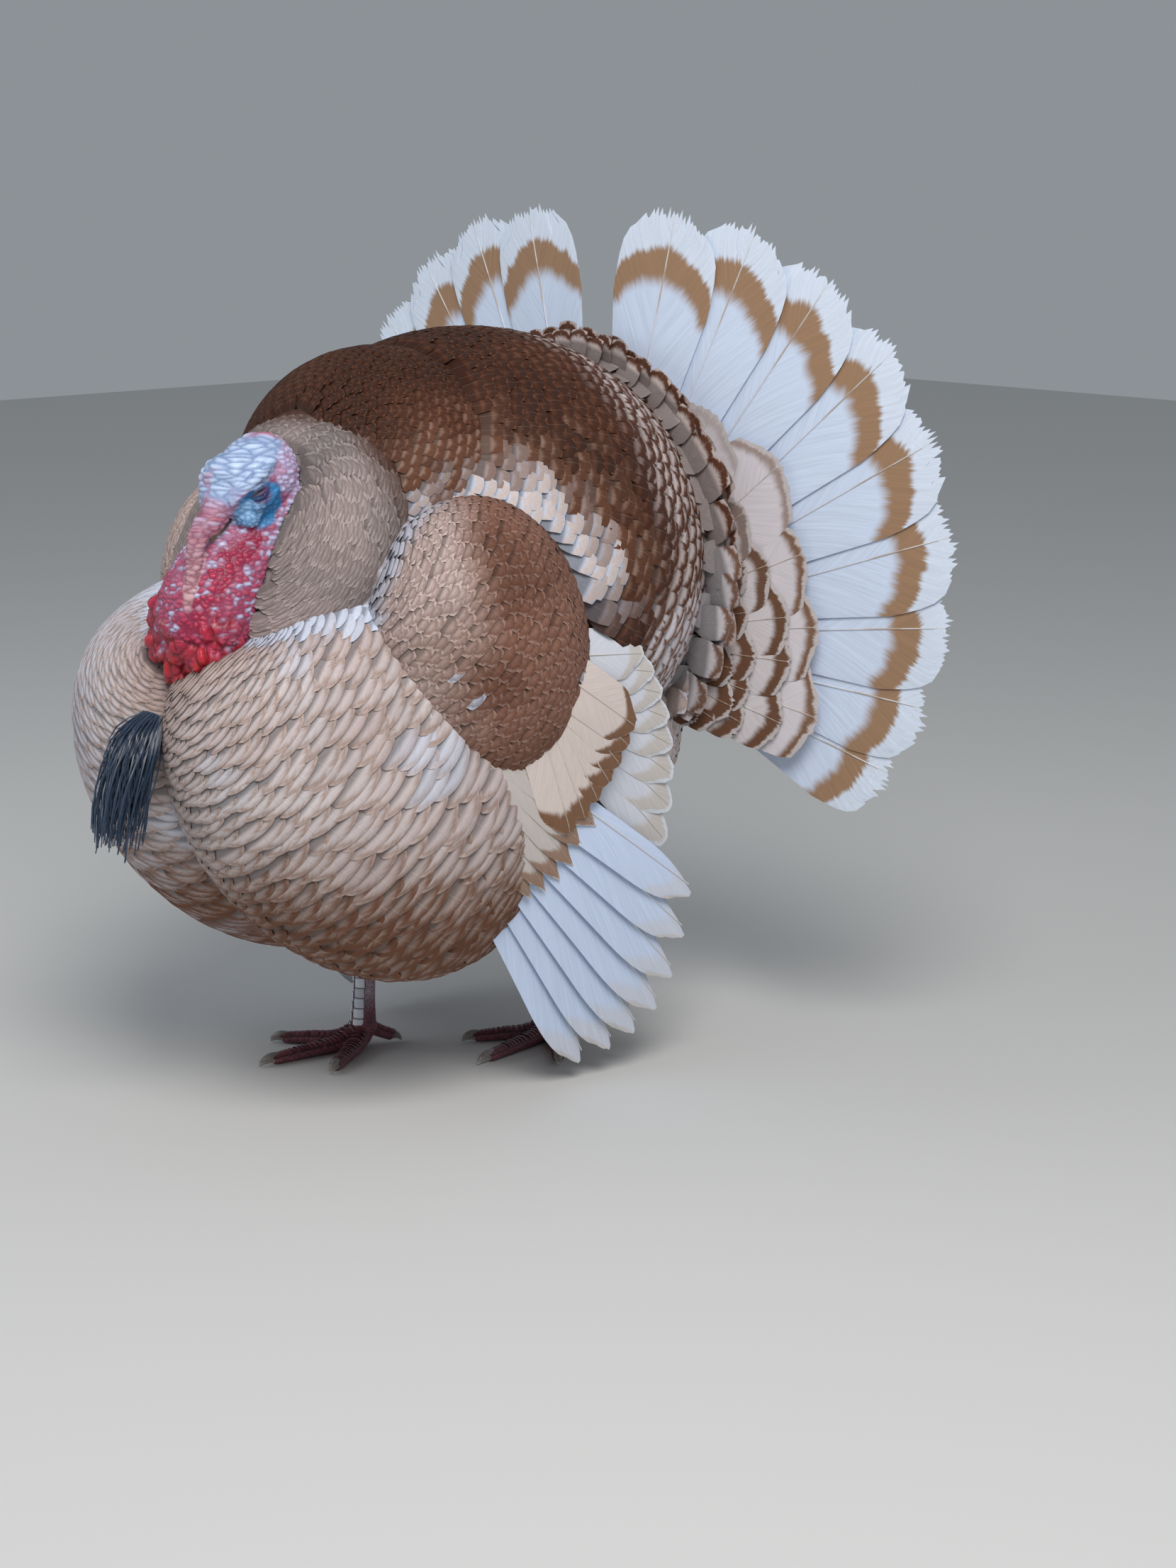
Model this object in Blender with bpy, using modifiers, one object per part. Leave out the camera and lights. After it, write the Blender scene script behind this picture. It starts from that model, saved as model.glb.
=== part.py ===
"""Domestic turkey tom in full strut, life size, as a still museum-like model.

The bird faces -Y, its left side is +X, up is +Z, and its toes stand on z = 0.
Every sub-part is one closed faceted solid. Neighbours keep a gap of GAP.
"""

import math

import bmesh
import bpy
from mathutils import Matrix, Vector

# ---------------------------------------------------------------- driving sizes
GAP = 0.0006                # clearance between neighbouring solids
SLIVER = 0.00003            # edges shorter than this are merged away after a cut
FEATHER_T = 0.0010          # thickness of a large feather
COVERT_T = 0.005            # thickness of the covert plates

# Tail fan
TAIL_ROOT = Vector((0.0, 0.196, 0.374))
TAIL_PER_SIDE = 9
TAIL_FIRST = 13.0           # degrees from straight up, innermost feather
TAIL_LAST = 107.0           # degrees from straight up, outermost feather
TAIL_LONG = 0.424           # longest feathers, root to tip
TAIL_MIDDLE = 0.406         # the innermost pair
TAIL_SHORT = 0.330          # the outermost pair
TAIL_TURN = 50.0            # degrees from straight up where the feathers start to shorten
TAIL_WIDE = 0.108           # widest part of one feather
TAIL_SWEEP = 0.11           # how far the sides sweep back, per unit of reach
TAIL_YAW = math.radians(5)  # the whole fan is turned a little about Z
TAIL_LAYER = 0.0016         # step from one feather to the one behind it
COVERT_REACH = 0.285        # radius of the upper tail coverts
UNDERTAIL_REACH = 0.210     # radius of the under-tail coverts
COVERT_FRONT = 0.0065       # front face of the upper coverts, ahead of the tail root
STACK_BACK = TAIL_LAYER * TAIL_PER_SIDE + 0.001   # rearmost face of the feather stack

# Wing, given for the left side; the right one is its mirror
WRIST = Vector((0.192, -0.135, 0.345))
PRIMARY_COUNT = 7
PRIMARY_WIDE = 0.040
ELBOW = Vector((0.196, -0.085, 0.425))
WING_CURL = 0.005           # how far the tips of the wing's plates turn in

# Head
HEAD = Vector((0.030, -0.226, 0.556))
HEAD_PITCH = math.radians(40)
HEAD_YAW = math.radians(4)
EYE_R = 0.0088

# Feet: ground point under each ankle, and toe reach
FOOT = {"right": Vector((-0.063, -0.043, 0.0)), "left": Vector((0.040, 0.108, 0.0))}
MIDDLE_TOE = 0.112

# ---------------------------------------------------------------- scene helpers
for old in list(bpy.data.objects):
    bpy.data.objects.remove(old, do_unlink=True)

PARTS = bpy.data.collections.new("turkey")
CUTTERS = bpy.data.collections.new("cutters")
bpy.context.scene.collection.children.link(PARTS)
bpy.context.scene.collection.children.link(CUTTERS)
ORIGIN = bpy.data.objects.new("turkey_origin", None)
PARTS.objects.link(ORIGIN)


def paint(name, colour, roughness=0.75):
    """A Principled material with one plain colour."""
    mat = bpy.data.materials.new(name)
    mat.use_nodes = True
    shader = mat.node_tree.nodes["Principled BSDF"]
    shader.inputs["Base Color"].default_value = (*colour, 1.0)
    shader.inputs["Roughness"].default_value = roughness
    shader.inputs["Metallic"].default_value = 0.0
    return mat


COLOURS = {
    "chestnut": (0.20, 0.075, 0.030),
    "tan": (0.50, 0.36, 0.25),
    "buff": (0.66, 0.48, 0.35),
    "ivory": (0.80, 0.76, 0.70),
    "white": (0.86, 0.88, 0.92),
    "crown": (0.62, 0.74, 0.82),
    "wattle": (0.55, 0.03, 0.04),
    "neck_red": (0.50, 0.12, 0.16),
    "snood": (0.62, 0.28, 0.30),
    "bill": (0.22, 0.20, 0.20),
    "eye": (0.03, 0.02, 0.015),
    "beard": (0.03, 0.03, 0.04),
    "shank": (0.48, 0.40, 0.38),
    "toe": (0.34, 0.16, 0.14),
}


def part(name, bm, colour, roughness=0.75):
    """Make one named sub-part from a bmesh."""
    mesh = bpy.data.meshes.new(name)
    bm.to_mesh(mesh)
    bm.free()
    obj = bpy.data.objects.new(name, mesh)
    obj.parent = ORIGIN
    PARTS.objects.link(obj)
    mesh.materials.append(paint(name, COLOURS[colour], roughness))
    return obj


def evaluated(obj):
    """A copy of the object's mesh with its modifiers applied."""
    bpy.context.view_layer.update()
    graph = bpy.context.evaluated_depsgraph_get()
    return bpy.data.meshes.new_from_object(obj.evaluated_get(graph))


def bake(obj):
    """Replace an object's mesh by its evaluated one and drop the modifiers."""
    mesh = evaluated(obj)
    obj.modifiers.clear()
    obj.data = mesh
    return obj


def tidied(mesh, weld):
    """Merge a mesh's slivers, and say whether it is still closed."""
    bm = bmesh.new()
    bm.from_mesh(mesh)
    if weld:
        bmesh.ops.remove_doubles(bm, verts=bm.verts, dist=weld)
        bmesh.ops.dissolve_degenerate(bm, edges=bm.edges, dist=weld)
    bmesh.ops.triangulate(bm, faces=bm.faces)
    closed = len(bm.faces) > 0 and all(len(edge.link_faces) == 2 for edge in bm.edges)
    bm.to_mesh(mesh)
    bm.free()
    return closed


def combine(obj, bm, operation):
    """Boolean of obj with the solid in bm, applied at once."""
    mesh = bpy.data.meshes.new("tool")
    bm.to_mesh(mesh)
    bm.free()
    tool = bpy.data.objects.new("tool", mesh)
    tool.hide_render = True
    tool.display_type = "WIRE"
    CUTTERS.objects.link(tool)
    cut = obj.modifiers.new(operation.lower(), "BOOLEAN")
    cut.operation = operation
    cut.object = tool
    for solver, weld in (("EXACT", SLIVER), ("EXACT", 0.0), ("MANIFOLD", SLIVER), ("MANIFOLD", 0.0)):
        cut.solver = solver
        result = evaluated(obj)
        if tidied(result, weld):
            break
    obj.modifiers.clear()
    obj.data = result
    bpy.data.objects.remove(tool, do_unlink=True)
    return obj


def carve(obj, *solids):
    """Cut each solid away from obj, then drop any crumb that came loose."""
    for bm in solids:
        combine(obj, bm, "DIFFERENCE")
    bm = bmesh.new()
    bm.from_mesh(obj.data)
    pieces = []
    left = set(bm.verts)
    while left:
        piece = {left.pop()}
        front = list(piece)
        while front:
            for edge in front.pop().link_edges:
                for v in edge.verts:
                    if v in left:
                        left.remove(v)
                        piece.add(v)
                        front.append(v)
        pieces.append(piece)
    pieces.sort(key=len, reverse=True)
    for crumb in pieces[1:]:
        bmesh.ops.delete(bm, geom=list(crumb), context="VERTS")
    bm.to_mesh(obj.data)
    bm.free()
    return obj


def unite(name, solids, colour, roughness=0.75):
    """One sub-part from overlapping solids."""
    obj = part(name, solids[0], colour, roughness)
    for bm in solids[1:]:
        combine(obj, bm, "UNION")
    return obj


# ---------------------------------------------------------------- solid shapes
def egg(centre, radii, pitch=0.0, yaw=0.0, roll=0.0, grow=0.0, sides=20, rings=13):
    """An ellipsoid. Angles are in degrees."""
    bm = bmesh.new()
    bmesh.ops.create_uvsphere(bm, u_segments=sides, v_segments=rings, radius=1.0)
    turn = (
        Matrix.Rotation(math.radians(yaw), 3, "Z")
        @ Matrix.Rotation(math.radians(pitch), 3, "X")
        @ Matrix.Rotation(math.radians(roll), 3, "Y")
    )
    size = Vector(radii) + Vector((grow, grow, grow))
    for v in bm.verts:
        v.co = Vector(centre) + turn @ Vector((v.co.x * size.x, v.co.y * size.y, v.co.z * size.z))
    return bm


def box(low, high):
    """A box between two corners, used to cut."""
    bm = bmesh.new()
    bmesh.ops.create_cube(bm, size=1.0)
    low, high = Vector(low), Vector(high)
    for v in bm.verts:
        v.co = Vector([low[i] + (v.co[i] + 0.5) * (high[i] - low[i]) for i in range(3)])
    return bm


def along(points, t):
    """Point on a Catmull-Rom curve through points, for t from 0 to 1."""
    last = len(points) - 1
    s = min(max(t, 0.0), 1.0) * last
    i = min(int(s), last - 1)
    f = s - i
    p1, p2 = points[i], points[i + 1]
    p0 = points[i - 1] if i > 0 else [2 * a - b for a, b in zip(p1, p2)]
    p3 = points[i + 2] if i + 2 <= last else [2 * b - a for a, b in zip(p1, p2)]
    return [
        0.5 * (2 * b + (c - a) * f + (2 * a - 5 * b + 4 * c - d) * f * f
               + (3 * b - a - 3 * c + d) * f ** 3)
        for a, b, c, d in zip(p0, p1, p2, p3)
    ]


def limb(stations, sides=10, steps=9, blunt=6.0, grow=0.0, side=Vector((1, 0, 0))):
    """A closed tube along stations of (x, y, z, half width, half depth).

    blunt sets how square the ends are: 2 is an ellipsoid's end, 6 a rounded stub.
    """
    bm = bmesh.new()
    rows = []
    for k in range(1, steps):
        t = 0.5 - 0.5 * math.cos(math.pi * k / steps)
        here = along(stations, t)
        ahead = Vector(along(stations, t + 0.02)[:3])
        behind = Vector(along(stations, t - 0.02)[:3])
        axis = (ahead - behind).normalized()
        across = (side - axis * side.dot(axis)).normalized()
        depth = axis.cross(across)
        end_share = abs(2.0 * t - 1.0) ** blunt
        full = max(1.0 - end_share, 0.0) ** (1.0 / blunt)
        centre = Vector(here[:3]) + axis * (grow * math.copysign(end_share, t - 0.5))
        wide = here[3] * full + grow
        deep = here[4] * full + grow
        ring = []
        for j in range(sides):
            a = 2.0 * math.pi * j / sides
            ring.append(bm.verts.new(centre + across * (wide * math.cos(a)) + depth * (deep * math.sin(a))))
        rows.append(ring)
    ends = []
    for t, way in ((0.0, -1), (1.0, 1)):
        tip = Vector(along(stations, t)[:3])
        inner = Vector(along(stations, t - way * 0.05)[:3])
        ends.append(bm.verts.new(tip + (tip - inner).normalized() * grow))
    for a, b in zip(rows, rows[1:]):
        for j in range(sides):
            n = (j + 1) % sides
            bm.faces.new((a[j], a[n], b[n], b[j]))
    for j in range(sides):
        n = (j + 1) % sides
        bm.faces.new((ends[0], rows[0][n], rows[0][j]))
        bm.faces.new((ends[1], rows[-1][j], rows[-1][n]))
    bmesh.ops.recalc_face_normals(bm, faces=bm.faces)
    bmesh.ops.triangulate(bm, faces=bm.faces, quad_method="FIXED")
    return bm


def sheet(place, nu, nv):
    """An open grid whose corner (i, j) lies at place(u, v), u and v from 0 to 1."""
    bm = bmesh.new()
    bmesh.ops.create_grid(bm, x_segments=nu, y_segments=nv, size=0.5)
    for v in bm.verts:
        v.co = place(v.co.x + 0.5, v.co.y + 0.5)
    bmesh.ops.remove_doubles(bm, verts=bm.verts, dist=0.00005)
    return bm


def slab(name, bm, thickness, colour):
    """A sub-part from an open sheet given an even thickness about its middle."""
    obj = part(name, bm, colour, 0.7)
    solid = obj.modifiers.new("thickness", "SOLIDIFY")
    solid.thickness = thickness
    solid.offset = 0.0
    return bake(obj)


def mirrored(bm):
    """The same solid on the bird's other side."""
    bmesh.ops.scale(bm, vec=(-1, 1, 1), verts=bm.verts)
    bmesh.ops.reverse_faces(bm, faces=bm.faces)
    return bm


def sided(bm, side):
    """The left side as drawn, the right side mirrored."""
    return bm if side == "left" else mirrored(bm)


# ---------------------------------------------------------------- body masses
def breast_lobes(grow=0.0):
    """The puffed breast: two lobes with a furrow between them."""
    return [
        egg((s * 0.072, -0.150, 0.293), (0.132, 0.203, 0.147), pitch=-47, yaw=s * -4,
            grow=grow, sides=13, rings=8)
        for s in (1, -1)
    ]


def ruff_mass(grow=0.0):
    """The feathered lower neck behind the head."""
    return [egg((0.0, -0.157, 0.507), (0.124, 0.071, 0.155), pitch=-40, grow=grow, sides=14, rings=8)]


def shoulder_mass(side, grow=0.0):
    """Scapular and wing-covert dome on one side."""
    return [sided(egg((0.143, -0.066, 0.424), (0.082, 0.102, 0.150), pitch=14, roll=6,
                      grow=grow, sides=14, rings=9), side)]


def trunk_masses(grow=0.0):
    """Raised back feathers, and the belly below them."""
    return [
        egg((0.0, 0.040, 0.462), (0.200, 0.222, 0.208), pitch=-8, grow=grow, sides=14, rings=8),
        egg((0.0, -0.062, 0.528), (0.147, 0.117, 0.131), grow=grow, sides=10, rings=6),
        egg((0.0, 0.015, 0.285), (0.162, 0.172, 0.166), grow=grow, sides=10, rings=7),
    ]


def rump_masses():
    """Fluffy vent and under-tail base behind and below the tail root."""
    return [
        egg((0.0, 0.168, 0.312), (0.108, 0.092, 0.125), pitch=20, sides=14, rings=9),
        egg((0.0, 0.110, 0.245), (0.120, 0.100, 0.115), sides=12, rings=7),
    ]


def thigh_mass(side, grow=0.0):
    """Feathered lower thigh that the shank comes out of."""
    foot = FOOT[side]
    return limb([
        (foot.x, foot.y + 0.012, 0.108, 0.026, 0.030),
        (foot.x * 1.1, foot.y + 0.012, 0.165, 0.052, 0.060),
        (foot.x * 1.2, foot.y * 0.6 + 0.01, 0.230, 0.058, 0.070),
    ], sides=9, steps=6, blunt=2.4, grow=grow)


# ---------------------------------------------------------------- tail fan
def fan_point(angle, reach, ahead):
    """A point of the fan: angle in degrees from straight up, + to the left side."""
    a = math.radians(angle)
    x = math.sin(a) * reach
    z = math.cos(a) * reach
    y = TAIL_SWEEP * abs(math.sin(a)) * reach - ahead
    turned = Matrix.Rotation(TAIL_YAW, 3, "Z") @ Vector((x, y, 0.0))
    return TAIL_ROOT + Vector((turned.x, turned.y, z))


def tail_length(angle):
    """Length of the feather at this angle."""
    inner = max(1.0 - (abs(angle) - TAIL_FIRST) / 22.0, 0.0)
    outer = max((abs(angle) - TAIL_TURN) / (TAIL_LAST - TAIL_TURN), 0.0)
    return TAIL_LONG + (TAIL_MIDDLE - TAIL_LONG) * inner ** 2 + (TAIL_SHORT - TAIL_LONG) * outer ** 1.3


def rectrix(angle, layer):
    """One tail feather as an open sheet: narrow quill, broad rounded tip."""
    length = tail_length(angle)
    start = 0.035

    def place(u, v):
        reach = start + (length - start) * (1.0 - (1.0 - v) ** 1.7)
        along_feather = reach / length
        half = TAIL_WIDE * 0.5 * (0.05 + 0.95 * min(along_feather / 0.80, 1.0) ** 1.25)
        round_tip = max(along_feather - 0.86, 0.0) / 0.14
        half *= math.sqrt(1.0 - 0.52 * round_tip ** 2.6)
        offset = (2.0 * u - 1.0) * half
        lean = math.degrees(offset / max(reach, 0.05))
        tip_drop = 0.012 * round_tip ** 2 * abs(2.0 * u - 1.0) ** 2
        return fan_point(angle + lean, math.hypot(reach, offset) - tip_drop, -layer * TAIL_LAYER)

    return sheet(place, 3, 3)


def covert_plate(ahead, reach, span, tips):
    """A plate of covert feathers lying on the fan, its rim scalloped into tips."""
    def place(u, v):
        scallop = 1.0 - 0.035 * (1.0 - abs(math.sin(math.pi * tips * u)))
        return fan_point(span * (2.0 * u - 1.0), 0.02 + (reach * scallop - 0.02) * v, ahead)
    return sheet(place, tips * 2, 1)


def fan_slot(front, back, span):
    """The wedge that the fan fills between two depths, a little wider than it."""
    bm = bmesh.new()
    steps = 12
    angles = [span * (2.0 * k / steps - 1.0) for k in range(steps + 1)]
    rows = []
    for ahead in (front, back):
        rim = [bm.verts.new(fan_point(a, 0.62, ahead)) for a in angles]
        rows.append([bm.verts.new(fan_point(0, 0.0, ahead))] + rim)
    a, b = rows
    for k in range(len(a)):
        n = (k + 1) % len(a)
        bm.faces.new((a[k], b[k], b[n], a[n]))
    for k in range(1, len(a) - 1):
        bm.faces.new((a[0], a[k], a[k + 1]))
        bm.faces.new((b[0], b[k + 1], b[k]))
    bmesh.ops.recalc_face_normals(bm, faces=bm.faces)
    return bm


def fan_half_space(ahead, way):
    """Everything behind (way +1) or in front (way -1) of the fan, for cutting."""
    bm = bmesh.new()
    steps = 24
    ring = [fan_point(-180 + 360 * k / steps, 0.62, ahead) for k in range(steps)]
    near = [bm.verts.new(p) for p in ring]
    far = [bm.verts.new(p + Vector((0, way * 0.6, 0))) for p in ring]
    mid = bm.verts.new(fan_point(0, 0.0, ahead))
    end = bm.verts.new(fan_point(0, 0.0, ahead) + Vector((0, way * 0.6, 0)))
    for k in range(steps):
        n = (k + 1) % steps
        bm.faces.new((near[k], near[n], mid))
        bm.faces.new((far[n], far[k], end))
        bm.faces.new((near[n], near[k], far[k], far[n]))
    bmesh.ops.recalc_face_normals(bm, faces=bm.faces)
    return bm


def make_tail():
    """Eighteen tail feathers, middle ones in front, and the covert plate."""
    step = (TAIL_LAST - TAIL_FIRST) / (TAIL_PER_SIDE - 1)
    for side, way in (("left", 1), ("right", -1)):
        for k in range(TAIL_PER_SIDE):
            angle = way * (TAIL_FIRST + step * k)
            slab(f"tail_{side}_{k + 1}", rectrix(angle, k + 1), FEATHER_T, "white")
    slab("tail_coverts", covert_plate(COVERT_FRONT - COVERT_T / 2, COVERT_REACH, 112.0, 14), COVERT_T, "tan")
    slab("undertail_coverts", covert_plate(-STACK_BACK - GAP - COVERT_T / 2, UNDERTAIL_REACH, 100.0, 10),
         COVERT_T, "ivory")


# ---------------------------------------------------------------- wings
def feather(root, tip, wide, out, bow=0.0, taper=0.72):
    """A long feather from root to tip; out is the side it faces, bow its curve."""
    root, tip, out = Vector(root), Vector(tip), Vector(out)
    axis = tip - root
    length = axis.length
    axis.normalize()
    across = axis.cross(out).normalized()
    out = across.cross(axis).normalized()

    def place(u, v):
        rise = min(v / 0.25, 1.0) ** 0.7
        round_tip = max(v - taper, 0.0) / (1.0 - taper)
        half = 0.5 * wide * (0.25 + 0.75 * rise) * math.sqrt(max(1.0 - 0.90 * round_tip ** 2, 0.0))
        s = 2.0 * u - 1.0
        arch = bow * math.sin(math.pi * v)
        return root + axis * (length * v) + across * (half * s) + out * (arch - 0.10 * half * s * s)

    return sheet(place, 2, 4)


PRIMARY_TIPS = [            # tips of the left primaries, front one first
    (0.150, 0.036, 0.016),
    (0.158, 0.066, 0.024),
    (0.166, 0.090, 0.036),
    (0.174, 0.110, 0.056),
    (0.182, 0.122, 0.086),
    (0.189, 0.130, 0.124),
    (0.195, 0.133, 0.164),
]


def make_wing(side):
    """Drooped wing of one side: dome, tertials, secondaries and primaries."""
    outward = Vector((1.0, -0.15, 0.20))
    for k, tip in enumerate(PRIMARY_TIPS):
        spread = k / (PRIMARY_COUNT - 1)
        root = WRIST + Vector((-0.022 + 0.0026 * k, 0.030 * spread, -0.050 + 0.040 * spread))
        shape = feather(root, tip, PRIMARY_WIDE, outward, bow=0.004)
        obj = slab(f"primary_{side}_{k + 1}", sided(shape, side), FEATHER_T, "ivory")
        carve(obj, *breast_lobes(GAP), *shoulder_mass(side, GAP))

    def hang(length_top, length_low, top, low, base, outset, notches):
        """A fan plate of joined feathers, angles in degrees below level."""
        def place(u, v):
            angle = math.radians(top + (low - top) * u)
            reach = length_top + (length_low - length_top) * u
            scallop = 1.0 - 0.05 * (1.0 - abs(math.sin(math.pi * notches * u)))
            r = 0.03 + (reach * scallop - 0.03) * v
            depth = outset - WING_CURL * (r / 0.2) ** 2
            return base + Vector((depth, r * math.cos(angle), -r * math.sin(angle)))
        return sheet(place, notches * 2, 2)

    tertials = slab(f"wing_{side}_tertials", sided(
        hang(0.160, 0.188, 28, 70, ELBOW, 0.010, 5), side), 0.004, "tan")
    carve(tertials, *shoulder_mass(side, GAP), *breast_lobes(GAP))
    secondaries = slab(f"wing_{side}_secondaries", sided(
        hang(0.135, 0.292, 2, 45, ELBOW + Vector((0, 0.0, -0.012)), -0.002, 6), side), 0.004, "ivory")
    carve(secondaries, *shoulder_mass(side, GAP), *breast_lobes(GAP), *trunk_masses(GAP))
    dome = part(f"wing_{side}_shoulder", shoulder_mass(side)[0], "chestnut")
    carve(dome, *breast_lobes(GAP), *ruff_mass(GAP))


# ---------------------------------------------------------------- head and neck
def head_frame(x, y, z):
    """A point given in the head's own frame: x left, y forward, z up."""
    turn = Matrix.Rotation(HEAD_YAW, 3, "Z") @ Matrix.Rotation(HEAD_PITCH, 3, "X")
    return HEAD + turn @ Vector((x, -y, z))


def head_tube(stations, **kw):
    """A limb whose stations are given in the head's frame."""
    placed = [(*head_frame(*s[:3]), s[3], s[4]) for s in stations]
    return limb(placed, **kw)


def skull(grow=0.0):
    """Head without bill: long low dome, deepest behind the eyes."""
    return head_tube([
        (0.0, -0.055, -0.012, 0.026, 0.026),
        (0.0, -0.024, -0.005, 0.036, 0.037),
        (0.0, 0.012, 0.000, 0.035, 0.036),
        (0.0, 0.036, 0.004, 0.030, 0.034),
        (0.0, 0.054, -0.002, 0.018, 0.024),
    ], sides=10, steps=8, blunt=2.2, grow=grow)


def beak(which, grow=0.0):
    """Upper or lower half of the bill."""
    if which == "upper":
        stations = [
            (0.0, 0.030, 0.000, 0.0125, 0.0090),
            (0.0, 0.048, -0.001, 0.0110, 0.0078),
            (0.0, 0.064, -0.005, 0.0075, 0.0055),
            (0.0, 0.076, -0.013, 0.0025, 0.0025),
        ]
    else:
        stations = [
            (0.0, 0.028, -0.0150, 0.0115, 0.0048),
            (0.0, 0.046, -0.0145, 0.0095, 0.0044),
            (0.0, 0.064, -0.0160, 0.0050, 0.0030),
        ]
    return head_tube(stations, sides=6, steps=6, blunt=3.0, grow=grow)


def eye(side, grow=0.0):
    """Eyeball; only its outer cap stands clear of the head."""
    s = 1 if side == "left" else -1
    centre = head_frame(s * 0.0280, 0.014, 0.008)
    bm = bmesh.new()
    bmesh.ops.create_uvsphere(bm, u_segments=8, v_segments=6, radius=EYE_R + grow)
    bmesh.ops.translate(bm, vec=centre, verts=bm.verts)
    return bm


def snood(grow=0.0):
    """Fleshy finger from the forehead that hangs past the bill."""
    return limb([
        (*head_frame(0.002, 0.040, 0.022), 0.012, 0.011),
        (*head_frame(0.010, 0.066, 0.010), 0.012, 0.011),
        (HEAD.x + 0.014, HEAD.y - 0.070, HEAD.z - 0.058, 0.011, 0.010),
        (HEAD.x + 0.014, HEAD.y - 0.074, HEAD.z - 0.098, 0.009, 0.008),
    ], sides=7, steps=7, blunt=4.0, grow=grow)


def bare_neck(grow=0.0):
    """Naked neck with the throat wattle, from the head down to the caruncles."""
    return limb([
        (0.028, -0.192, 0.552, 0.034, 0.034),
        (0.028, -0.207, 0.520, 0.036, 0.041),
        (0.028, -0.236, 0.490, 0.038, 0.044),
        (0.026, -0.262, 0.462, 0.042, 0.046),
        (0.022, -0.270, 0.430, 0.042, 0.042),
    ], sides=8, steps=7, blunt=2.6, grow=grow)


CARUNCLES = [               # x, y, z, radius of each bulb round the lower neck
    (-0.004, -0.277, 0.446, 0.026),
    (0.020, -0.284, 0.442, 0.026),
    (0.046, -0.274, 0.438, 0.025),
    (0.066, -0.258, 0.424, 0.022),
    (0.014, -0.286, 0.424, 0.020),
    (0.046, -0.282, 0.416, 0.022),
    (0.013, -0.290, 0.404, 0.0135),
]


def caruncle_bulbs(grow=0.0):
    """Major caruncles: bulbs that run into each other."""
    solids = []
    for x, y, z, r in CARUNCLES:
        bm = bmesh.new()
        bmesh.ops.create_uvsphere(bm, u_segments=7, v_segments=5, radius=r + grow)
        bmesh.ops.translate(bm, vec=(x, y, z), verts=bm.verts)
        solids.append(bm)
    return solids


def beard(grow=0.0):
    """Bristle tuft on the breast, flared and flattened towards its end."""
    return limb([
        (0.0, -0.304, 0.362, 0.011, 0.009),
        (0.0, -0.326, 0.338, 0.017, 0.013),
        (-0.002, -0.340, 0.298, 0.024, 0.019),
        (-0.004, -0.346, 0.250, 0.024, 0.018),
    ], sides=8, steps=7, blunt=3.5, grow=grow)


def make_head():
    """Head, bare neck, caruncles, snood, bill and eyes, fitted to each other."""
    head = part("head", skull(), "crown", 0.6)
    carve(head, beak("upper", GAP), beak("lower", GAP), snood(GAP), eye("left", GAP), eye("right", GAP))
    upper = part("beak_upper", beak("upper"), "bill", 0.4)
    carve(upper, snood(GAP))
    part("beak_lower", beak("lower"), "bill", 0.4)
    part("eye_left", eye("left"), "eye", 0.1)
    part("eye_right", eye("right"), "eye", 0.1)
    part("snood", snood(), "snood", 0.5)
    neck = part("neck_skin", bare_neck(), "neck_red", 0.5)
    carve(neck, skull(GAP), beak("lower", GAP), beak("upper", GAP), snood(GAP), *caruncle_bulbs(GAP))
    bulbs = unite("caruncles", caruncle_bulbs(), "wattle", 0.35)
    carve(bulbs, snood(GAP))


# ---------------------------------------------------------------- legs and feet
TOES = {                    # toe: reach as a share of the middle toe, heading in degrees
    "inner": (0.80, -40.0),
    "middle": (1.00, 0.0),
    "outer": (0.80, 42.0),
}
HEADING = {"right": 8.0, "left": -8.0}   # degrees each foot is turned outwards


def toe(side, share, heading):
    """A toe with its pads, and the claw that ends it, resting on the ground."""
    foot = FOOT[side]
    outward = -1 if side == "right" else 1
    a = math.radians(outward * heading + HEADING[side] * -1)
    way = Vector((math.sin(a), -math.cos(a), 0.0))
    across = Vector((way.y, -way.x, 0.0))
    reach = MIDDLE_TOE * share
    stations = []
    for t, height, half in (
        (0.00, 0.0140, 0.0090), (0.25, 0.0062, 0.0085), (0.55, 0.0050, 0.0070),
        (0.78, 0.0042, 0.0060), (0.90, 0.0030, 0.0040), (1.00, 0.0008, 0.0014),
    ):
        p = foot + way * (reach * t)
        stations.append((p.x, p.y, height, half, half))
    return limb(stations, sides=5, steps=6, blunt=5.0, side=across)


def hind_toe(side):
    """The short hind toe, set higher and reaching back to the ground."""
    foot = FOOT[side]
    a = math.radians(200.0 if side == "left" else 160.0)
    way = Vector((math.sin(a), -math.cos(a), 0.0))
    across = Vector((way.y, -way.x, 0.0))
    stations = []
    for t, height, half in ((0.0, 0.022, 0.0065), (0.45, 0.0120, 0.0055), (0.8, 0.0034, 0.0042), (1.0, 0.0006, 0.0012)):
        p = foot + way * (0.038 * t)
        stations.append((p.x, p.y, height, half, half))
    return limb(stations, sides=5, steps=5, blunt=4.0, side=across)


def shank_stations(side):
    """Lower leg from the ankle up into the thigh feathers."""
    foot = FOOT[side]
    return [
        (foot.x, foot.y, 0.020, 0.0115, 0.0125),
        (foot.x, foot.y + 0.003, 0.060, 0.0090, 0.0110),
        (foot.x, foot.y + 0.006, 0.105, 0.0095, 0.0115),
        (foot.x, foot.y + 0.010, 0.140, 0.0120, 0.0150),
    ]


def shank_tube(side, grow=0.0):
    """The shank without its spur."""
    return limb(shank_stations(side), sides=8, steps=5, blunt=7.0, grow=grow)


def leg_room():
    """What the legs need cut out of the body above them."""
    rooms = []
    for side in FOOT:
        rooms += [thigh_mass(side, GAP), shank_tube(side, GAP)]
    return rooms


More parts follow.
